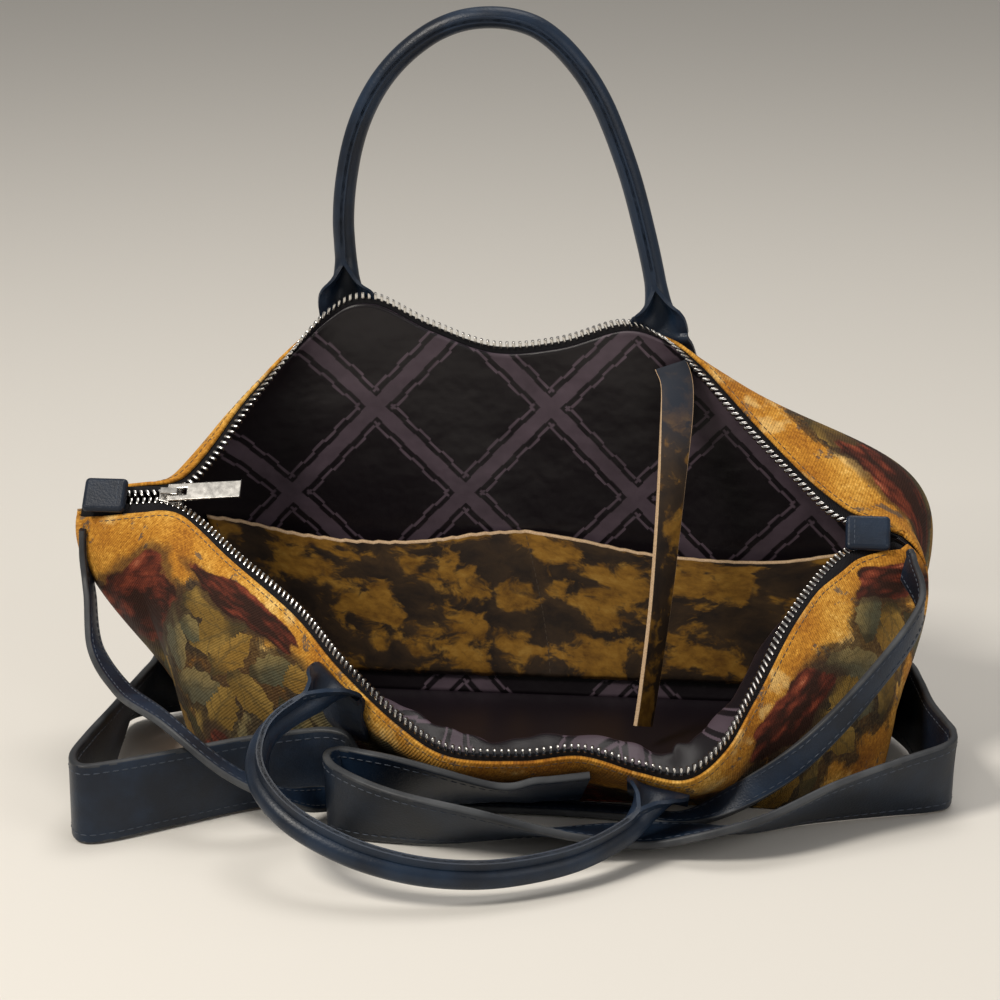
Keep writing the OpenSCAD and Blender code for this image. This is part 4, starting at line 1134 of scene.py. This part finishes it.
# %% The tapes
TAPE_COLUMNS, TAPE_ROWS = 240, 6
for side, word in ((FRONT, "front"), (BACK, "back")):
    wall = walls[side]
    lo, hi = (TAPE_W, TAPE_TOP) if side < 0 else (TAPE_TOP, TAPE_W)
    piece = lay_grid(word + "_tape", TAPE_COLUMNS, TAPE_ROWS,
                     lambda u, v: wall.at(u, lo + v * (hi - lo), np.full(len(u), TAPE_T / 2)),
                     lambda u, v: np.stack([u * wall.zip_l, lo + v * (hi - lo)], 1))
    thicken(piece, TAPE_T)
    dress(piece, tape, replaces=["zip_tape_" + word])

# %% The teeth, the slider and the pull
TOOTH_SIZE, TOOTH_ROUND, TOOTH_UP = (1.5, 3.5, 2.5), 0.55, 0.95
ROW_ENDS, METAL_ROUND, LOOK_DOWN = 0.025, 0.35, 0.6
bpy.ops.object.select_all(action="DESELECT")
bpy.ops.mesh.primitive_cube_add(size=1)
tooth = bpy.context.object
bpy.ops.object.mode_set(mode="EDIT")
bpy.ops.mesh.select_all(action="SELECT")
bpy.ops.transform.resize(value=[length * MM for length in TOOTH_SIZE], center_override=(0, 0, 0))
bpy.ops.object.mode_set(mode="OBJECT")
apply_modifier(tooth, "BEVEL", width=TOOTH_ROUND * MM, segments=2, limit_method="NONE")
for side, word, shift in ((FRONT, "front", 0.25), (BACK, "back", 0.75)):
    wall = walls[side]
    t = (np.arange(int(wall.zip_l / TOOTH_PITCH)) + shift) * TOOTH_PITCH / wall.zip_l
    t = t[(t > ROW_ENDS) & (t < 1 - ROW_ENDS)]
    root = np.full(len(t), TAPE_TOP)
    y, x = wall.up(t, root + LOOK_DOWN), wall.along(t, root)
    centres = wall.at(t, root) + y * TOOTH_UP
    piece = copies(word + "_teeth", tooth, centres, np.stack([x, y, np.cross(x, y)], 1))
    dress(piece, metal, replaces=["zip_teeth_" + word])
bpy.data.objects.remove(tooth)
for node in ("zip_slider", "zip_pull"):
    piece = dress(bpy.data.objects[node], metal, body=None)
    round_edges(piece, METAL_ROUND, 3)

# %% [markdown]
# ## Straps
#
# The shoulder straps are wide bands of two navy leathers, the inner one duller, with painted
# edges and a line of stitches beside each edge. They lie on the floor round the bag. They
# could be dropped there by a simulation, but then they would lie otherwise each time, so the
# routes repeat the points of the solids.

# %% Routes of the wide straps
LEFT_ROUTE = [
    [-1.208, 0.1, 0.06, 0.28], [-1.217, -0.4, 0.02, 0.2], [-1.215, -1, 0, 0.08], [-1.225, -1.6, 0, 0],
    [-1.23, -2, 0, 0], [-1.19, -2.2, 0, 0], [-1.11, -2.13, 0, 0], [-0.95, -1.84, 0, 0.05],
    [-0.78, -1.53, 0, 0.08], [-0.62, -1.34, 0, 0.06]]
RIGHT_ROUTE = [
    [1.11, 0.1, 0.05, -0.06], [1.14, -0.28, 0, -0.04], [1.18, -0.62, 0, 0], [1.2, -0.88, 0, 0.02],
    [1.165, -1.08, 0, 0.16], [1.02, -1.28, 0, 0.31], [0.83, -1.53, 0, 0.48], [0.61, -1.85, 0, 0.7],
    [0.37, -1.84, 0, 0.9], [0.13, -2, 0, 0.78], [-0.14, -2.16, 0, 0.5], [-0.33, -2.13, 0, 0.34],
    [-0.47, -1.99, 0, 0.16], [-0.525, -1.8, 0, 0.03], [-0.49, -1.66, 0, 0.03], [-0.38, -1.69, 0.1, 0.3]]
STRAP_FOOT, FOOT_UP, FOOT_OFF = [0.13, 0.07], 0.635, 0.07
LEFT_HEAD, LEFT_UP = [[0.32, 0.18], [0.36, 0.2], [0.405, 0.085]], 0.68
RIGHT_HEAD, RIGHT_UP = [[0.5, 0.06], [0.54, 0.03], [0.58, 0.02]], 0.62
STRAP_ROUND, STRAP_INSET, STRAP_STITCH = 1.2, 4.0, (4.2, 3.2, 0.6, 0.45)


def sewn_station(side, t, up_share, off_share):
    """A station of a strap on a wall: its centre, its width direction and the way it faces."""
    wall = walls[side]
    d = float(wall.depth_at_height(np.array([t]), STRAP_W * up_share)[0])
    off = CLOTH_OUT + LAYER_GAP + STRAP_T / 2 + off_share * STRAP_W
    return wall.at(t, d, off), wall.up(t, d), wall.out(t, d)


def floor_stations(route):
    """Stations on the floor, from shares of the base, a lift and a lean away from upright."""
    plan = np.array([[p[0] * BASE_W / 2, p[1] * BASE_D / 2, 0] for p in route])
    run = unit(np.gradient(plan, axis=0))
    ahead = np.stack([run[:, 1], -run[:, 0], run[:, 0] * 0], 1)
    ahead *= np.where(ahead[:, 1:2] > 0, -1, 1)
    lift, lean = np.array(route)[:, 2], np.radians(90 * np.array(route)[:, 3])
    z = lift * STRAP_W + STRAP_W / 2 * np.cos(lean) + STRAP_T / 2 * np.abs(np.sin(lean)) + LAYER_GAP
    plan[:, 2] = z
    width = np.array([0, 0, 1.0]) * np.cos(lean)[:, None] + ahead * np.sin(lean)[:, None]
    return [(c, w, np.cross(r, w)) for c, w, r in zip(plan, width, run)]


print("strap routes:", len(LEFT_ROUTE), "and", len(RIGHT_ROUTE), "stations on the floor")


# %% The wide straps
def wide_strap(word, foot_places, route, head, head_up, steps):
    """One shoulder strap from its foot on the back wall to its head on the front wall."""
    stations = [sewn_station(BACK, t, FOOT_UP, FOOT_OFF * k) for k, t in enumerate(foot_places)]
    stations += floor_stations(route)
    stations += [sewn_station(FRONT, t, head_up, off) for t, off in head]
    centres, widths, _ = [np.array(x) for x in zip(*stations)]
    outward = np.cross(np.gradient(centres, axis=0), widths)
    piece, lines = sweep(word + "_strap_leather", centres, widths, outward, STRAP_W, STRAP_T, steps,
                         corner=STRAP_ROUND)
    face_slots(piece, lines, STRAP_W)
    dress(piece, [navy, navy_inner, edge_paint], replaces=["shoulder_strap_" + word])
    return band_lines(lines, STRAP_W, STRAP_T, STRAP_INSET)


strap_seams = wide_strap("left", STRAP_FOOT, LEFT_ROUTE, LEFT_HEAD, LEFT_UP, 180)
strap_seams += wide_strap("right", [1 - t for t in STRAP_FOOT], RIGHT_ROUTE, RIGHT_HEAD, RIGHT_UP, 240)
seam("strap_stitches", strap_seams, STRAP_STITCH, navy_thread)

# %% [markdown]
# The narrow strap is one long band of the same leathers. Its two ends are tucked into the
# bag's side seams, and between them it hangs across the front and rests on the floor under
# the slumped wall. A station's last number turns its width from level to upright.

# %% The narrow strap
CROSS_ROUTE = [
    [-1.345, -0.14, 0.345, -0.2], [-1.29, -0.58, 0.26, -0.2], [-1.16, -1.18, 0.23, -0.15],
    [-0.99, -1.74, 0.225, -0.1], [-0.8, -1.98, 0.145, 0], [-0.64, -1.88, 0.075, 0],
    [-0.545, -1.52, 0.03, 0.3], [-0.4, -1.36, 0.01, 0], [-0.2, -1.3, 0.004, 0],
    [0.06, -1.3, 0.004, 0], [0.28, -1.34, 0.004, 0], [0.45, -1.43, 0.006, 0.05],
    [0.6, -1.48, 0.065, 0.6], [0.78, -1.48, 0.17, 0.9], [0.96, -1.18, 0.3, 1], [1.1, -0.7, 0.42, 1.2]]
CROSS_INSET, CROSS_STITCH = 2.2, (4.0, 3.0, 0.5, 0.4)
TUCK_D = PEAK_H * 0.12
# Each end: places along the zip, depths below it and distances off the cloth
LEFT_TUCK = [[0, TUCK_D - 12, -2], [0, TUCK_D + 2, 0.5]]
RIGHT_TUCK = [[0.985, TUCK_D - 6, CLOTH_OUT + CROSS_T / 2 + LAYER_GAP], [1, TUCK_D - 14, -3]]
LEFT_ACROSS, RIGHT_ACROSS = [0, 1, 0], [0.5, -0.4, 0.7]
left_end, right_end = [[walls[FRONT].at(*p) for p in tuck] for tuck in (LEFT_TUCK, RIGHT_TUCK)]
middle = [[x * BASE_W / 2, y * BASE_D / 2, z * PEAK_H + CROSS_T / 2] for x, y, z, _ in CROSS_ROUTE]
cross_points = np.vstack([left_end, middle, right_end])
cross_widths = [LEFT_ACROSS] * 2 + [[0, 1 - s, s] for *_, s in CROSS_ROUTE] + [RIGHT_ACROSS] * 2
cross_outs = np.tile([0, -0.3, 1.0], (len(cross_points), 1))
piece, lines = sweep("narrow_strap_leather", cross_points, np.array(cross_widths, float), cross_outs,
                     CROSS_W, CROSS_T, 240)
face_slots(piece, lines, CROSS_W)
dress(piece, [navy, navy_inner, edge_paint], replaces=["cross_strap"])
seam("narrow_strap_stitches", band_lines(lines, CROSS_W, CROSS_T, CROSS_INSET), CROSS_STITCH, navy_thread)

# %% [markdown]
# ## Handles
#
# Each handle is one strip of leather rolled round a cord, its two edges sewn together into a
# small fin. Near each end the roll opens like a fish's mouth, lies flat and is sewn to the wall.
# A pipe with flat tabs would be quicker, but the opening is what makes such a handle look
# real. So the strip's section is worked out for any opening between rolled and flat.

# %% Sizes and loops of the handles
HANDLE_W, HANDLE_T, FIN_W = 35.0, 2.0, 5.0
FRONT_APEX = 8.5
ROLL_R = (HANDLE_W / 2 - FIN_W) / math.pi
HINGE_CLEAR, TAB_CLEAR, TAB_L, TAB_T = 2.8, 0.9, 26, 2
HINGE_D = CLOTH_EDGE
HINGE_OFF = CLOTH_OUT + HINGE_CLEAR + TAB_T / 2 + LAYER_GAP
TAB_OFF = CLOTH_OUT + TAB_CLEAR + TAB_T / 2
# Depths of a flat end's stations below the hinge, each with its share of the strip's width
NECK = 0.78
TAB_STATIONS = [[TAB_L, 0.5], [TAB_L * 0.7, 0.72], [TAB_L * 0.35, 0.76], [1, NECK]]
OPENING = np.array([9, 16, 23, 30])
ROLL_FROM, ROLL_STATIONS, ROLL_STEP = 40, 24, 2
OPEN_EARLY, OPEN_RUN, NECK_RUN, SHUT = 6, 32, 24, 0.15
SECTION_POINTS = 41
BEND_L, HANDLE_STEPS, HANDLE_STITCH = 22, 220, (3.6, 2.8, 0.55, 0.4)
HANDLES = {
    BACK: dict(word="back", places=[0.355, 0.675], drop=141, loop=[
        [-1, 0], [-1.02, 0.12], [-1.06, 0.34], [-1, 0.59], [-0.82, 0.79], [-0.52, 0.935], [-0.19, 0.985],
        [0.14, 0.95], [0.46, 0.79], [0.7, 0.55], [0.87, 0.3], [0.965, 0.12], [1, 0]]),
    FRONT: dict(word="front", places=[0.35, 0.655], drop=93, loop=[
        [-1, 0], [-1.05, 0.15], [-1.15, 0.31], [-1.21, 0.5], [-1.13, 0.74], [-0.87, 0.92], [-0.5, 1],
        [-0.14, 0.99], [0.18, 0.91], [0.45, 0.78], [0.72, 0.58], [0.91, 0.34], [0.98, 0.15], [1, 0]])}
print("rolled handle:", round(2 * ROLL_R + HANDLE_T, 1), "mm thick")


# %% The strip's section
def rolled_section(opened, width_share):
    """The strip's cross-section between rolled shut and flat: points and their normals."""
    w = np.linspace(-1, 1, SECTION_POINTS) * HANDLE_W / 2
    wrapped = HANDLE_W / 2 - FIN_W
    shut = 1 - opened
    turn = np.clip(w, -wrapped, wrapped) * shut / ROLL_R
    turn = turn - np.sign(w) * (np.abs(w) > wrapped) * shut * math.pi / 2
    middle = (turn[1:] + turn[:-1]) / 2
    x = np.concatenate([[0], np.cumsum(np.cos(middle) * np.diff(w))])
    y = np.concatenate([[0], np.cumsum(np.sin(middle) * np.diff(w))])
    half = SECTION_POINTS // 2
    x, y = x - x[half], y - y[half] - ROLL_R * shut
    return np.stack([x * width_share, y], 1), np.stack([-np.sin(turn), np.cos(turn)], 1)


# %% Stations along a handle
def sewn_end(wall, t, turn):
    """Stations of a flat end on the wall, from its tip up to the hinge."""
    return [(wall.at(t, HINGE_D + d, TAB_OFF), turn * wall.along(t, HINGE_D + d),
             -wall.out(t, HINGE_D + d), 1.0, share) for d, share in TAB_STATIONS]


def handle_frames(side):
    """Stations along a handle from one sewn end over the loop to the other."""
    spec, wall = HANDLES[side], walls[side]
    hinge = [wall.at(t, HINGE_D, HINGE_OFF) for t in spec["places"]]
    mid, half = (hinge[0] + hinge[1]) / 2, np.linalg.norm(hinge[1] - hinge[0]) / 2
    along = unit(hinge[1] - hinge[0])
    fall = math.asin(min(1, (mid[2] - FRONT_APEX) / spec["drop"])) if side < 0 else 0
    lean = np.array([0, -math.cos(fall), -math.sin(fall)] if side < 0 else [0, 0, 1.0])
    reach = unit(lean - along * np.dot(lean, along))
    face = np.cross(along, reach) * side
    plan = np.array([[x * half, y * spec["drop"]] for x, y in spec["loop"]])
    fine = spline(plan, np.linspace(0, len(plan) - 1, 400))
    walk = run_lengths(fine)
    loop = []
    middle = np.linspace(ROLL_FROM, walk[-1] - ROLL_FROM, ROLL_STATIONS)
    for s in np.concatenate([OPENING, middle, walk[-1] - OPENING[::-1]]):
        x, y = reading(s, walk, fine)
        ahead = unit(reading(s + ROLL_STEP, walk, fine) - reading(s - ROLL_STEP, walk, fine))
        across = along * ahead[1] - reach * ahead[0]
        end = min(s, walk[-1] - s)
        opened = 1 - ease((end + OPEN_EARLY) / OPEN_RUN)
        share = NECK + (1 - NECK) * ease(end / NECK_RUN)
        loop.append((mid + along * x + reach * y, across, face, float(opened), float(share)))
    left, right = [sewn_end(wall, t, turn) for t, turn in zip(spec["places"], (1, -1))]
    return left + loop + right[::-1], mid, reach


# %% The rolled handles
def handle_piece(side):
    word = HANDLES[side]["word"]
    stations, mid, reach = handle_frames(side)
    c, w, n, opened, share = [np.array(x) for x in zip(*stations)]
    count = np.arange(len(c))
    walk = run_lengths(c)
    stop = np.interp(np.linspace(0, 1, HANDLE_STEPS + 1), walk / walk[-1], count)
    c, w, n = spline(c, stop), spline(w, stop), spline(n, stop)
    opened, share = np.interp(stop, count, opened), np.interp(stop, count, share)
    run = unit(np.gradient(c, axis=0))
    w = unit(w - run * np.sum(w * run, 1, keepdims=True))
    face = np.cross(run, w)
    face *= np.sign(np.sum(face * n, 1, keepdims=True))
    rings, normals = [np.array(x) for x in zip(*[rolled_section(o, k) for o, k in zip(opened, share)])]
    half = normals * HANDLE_T / 2
    around = np.concatenate([rings - half, (rings + half)[:, ::-1]], 1)
    around = np.concatenate([around, around[:, :1]], 1)
    sides = around.shape[1] - 1
    length = run_lengths(c)[-1]

    def place(u, v):
        k = np.round(v * HANDLE_STEPS).astype(int)
        p = around[k, np.round(u * sides).astype(int)]
        return c[k] + w[k] * p[:, :1] + face[k] * p[:, 1:]

    piece = lay_grid(word + "_handle_leather", sides, HANDLE_STEPS, place,
                     lambda u, v: np.stack([u * 2 * HANDLE_W, v * length], 1))
    close_tube(piece)
    dress(piece, navy, body=None, replaces=[
        "handle_" + word, "handle_tab_%s_left" % word, "handle_tab_%s_right" % word])
    bodies = ("bag", word + "_handle", Vector(mid * MM), Vector((mid + reach * BEND_L) * MM))
    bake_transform(piece)
    shut = opened < SHUT
    rolled = slice(np.argmax(shut), HANDLE_STEPS - np.argmax(shut[::-1]))
    fin = []
    for j in (2, -3):
        p, out = rings[:, j] - normals[:, j] * (HANDLE_T / 2 + STITCH_UP), -normals[:, j]
        points, outs = [c * k + w * q[:, :1] + face * q[:, 1:] for k, q in ((1, p), (0, out))]
        fin.append((points[rolled], outs[rolled]))
    seam(word + "_handle_stitches", fin, HANDLE_STITCH, navy_thread, blend=bodies)


for side in walls:
    handle_piece(side)

# %% [markdown]
# ## Zip caps and base
#
# A folded leather cap with one line of stitches closes each end of the zip. The base is a plain
# panel of the same leather. Both have the solids' form, so the solids are kept: the caps only
# get rounder edges, and their stitches are placed along the solid's own long and short axes.

# %% Caps and base
CAP_ROUND, CAP_STITCH_IN, CAP_SEAM, CAP_STITCH = 2.1, 4, 12, (2.6, 2.0, 0.5, 0.4)
cap_seams = []
for word, turn in (("left", 1), ("right", -1)):
    piece = dress(bpy.data.objects["zip_cap_" + word], navy, body=None)
    round_edges(piece, CAP_ROUND, 4)
    corners = np.array([v.co for v in piece.data.vertices]) / MM
    centre = corners.mean(0)
    axes = np.linalg.svd(corners - centre)[2]
    inward = axes[0] * np.sign(axes[0][0]) * turn
    top = axes[2] * np.sign(axes[2][2])
    steps = np.linspace(-CAP_SEAM / 2, CAP_SEAM / 2, 20)
    line = centre + inward * (CAP_L / 2 - CAP_STITCH_IN) + top * CAP_H / 2
    cap_seams.append((line + np.outer(steps, np.cross(top, inward)), np.tile(top, (20, 1))))
seam("cap_stitches", cap_seams, CAP_STITCH, navy_thread)
dress(bpy.data.objects["base_panel"], navy, body=None)

# %% [markdown]
# ## Camera, floor and light
#
# The camera looks down a little at the bag's front, a little from its right, with a long lens.
# Daylight could come from a sky, but three soft lamps are easier to judge: a warm key from
# the left, a weak fill from the right and one from above behind the bag.

# %% Camera
EYE = Vector((0.118, -1.300, 0.518))
LOOK = Vector((-0.100, 0.951, -0.292))
LENS, SENSOR_W = 108.4, 36
bpy.ops.object.camera_add(location=EYE, rotation=LOOK.to_track_quat("-Z", "Y").to_euler())
camera = bpy.context.object
camera.data.lens = LENS
camera.data.sensor_width = SENSOR_W
scene.camera = camera
print("camera:", LENS, "mm lens")

# %% Floor and light
FLOOR_SIZE, FLOOR_DOWN = 14, 0.0004
bpy.ops.mesh.primitive_plane_add(size=FLOOR_SIZE, location=(0, 0, -FLOOR_DOWN))
floor = bpy.context.object
floor.name = "floor"
paper = Finish("floor_paper")
floor.data.materials.append(paper.finish(base_color=(0.74, 0.71, 0.66), roughness=0.9))

scene.world = bpy.data.worlds.new("studio")
scene.world.use_nodes = True
sky = scene.world.node_tree.nodes["Background"]
sky.inputs["Color"].default_value = (1, 0.98, 0.95, 1)
sky.inputs["Strength"].default_value = 0.27


def softbox(name, place, size, power, colour):
    """A round lamp that looks at the bag."""
    bpy.ops.object.light_add(type="AREA", location=place)
    lamp = bpy.context.object
    lamp.name = name
    lamp.data.shape = "DISK"
    lamp.data.size = size
    lamp.data.energy = power
    lamp.data.color = colour
    lamp.rotation_euler = (AIM - Vector(place)).to_track_quat("-Z", "Y").to_euler()
    print("lamp", name, power, "W")


AIM = Vector((0, 0, 0.1))
softbox("key", (-1.1, -1.1, 1.7), 0.6, 37, (1, 0.95, 0.87))
softbox("fill", (1.4, -1.0, 0.9), 1.2, 7, (1, 0.97, 0.94))
softbox("top", (0.1, 0.5, 1.9), 1.0, 11, (1, 0.97, 0.93))
scene.view_settings.view_transform = "Standard"
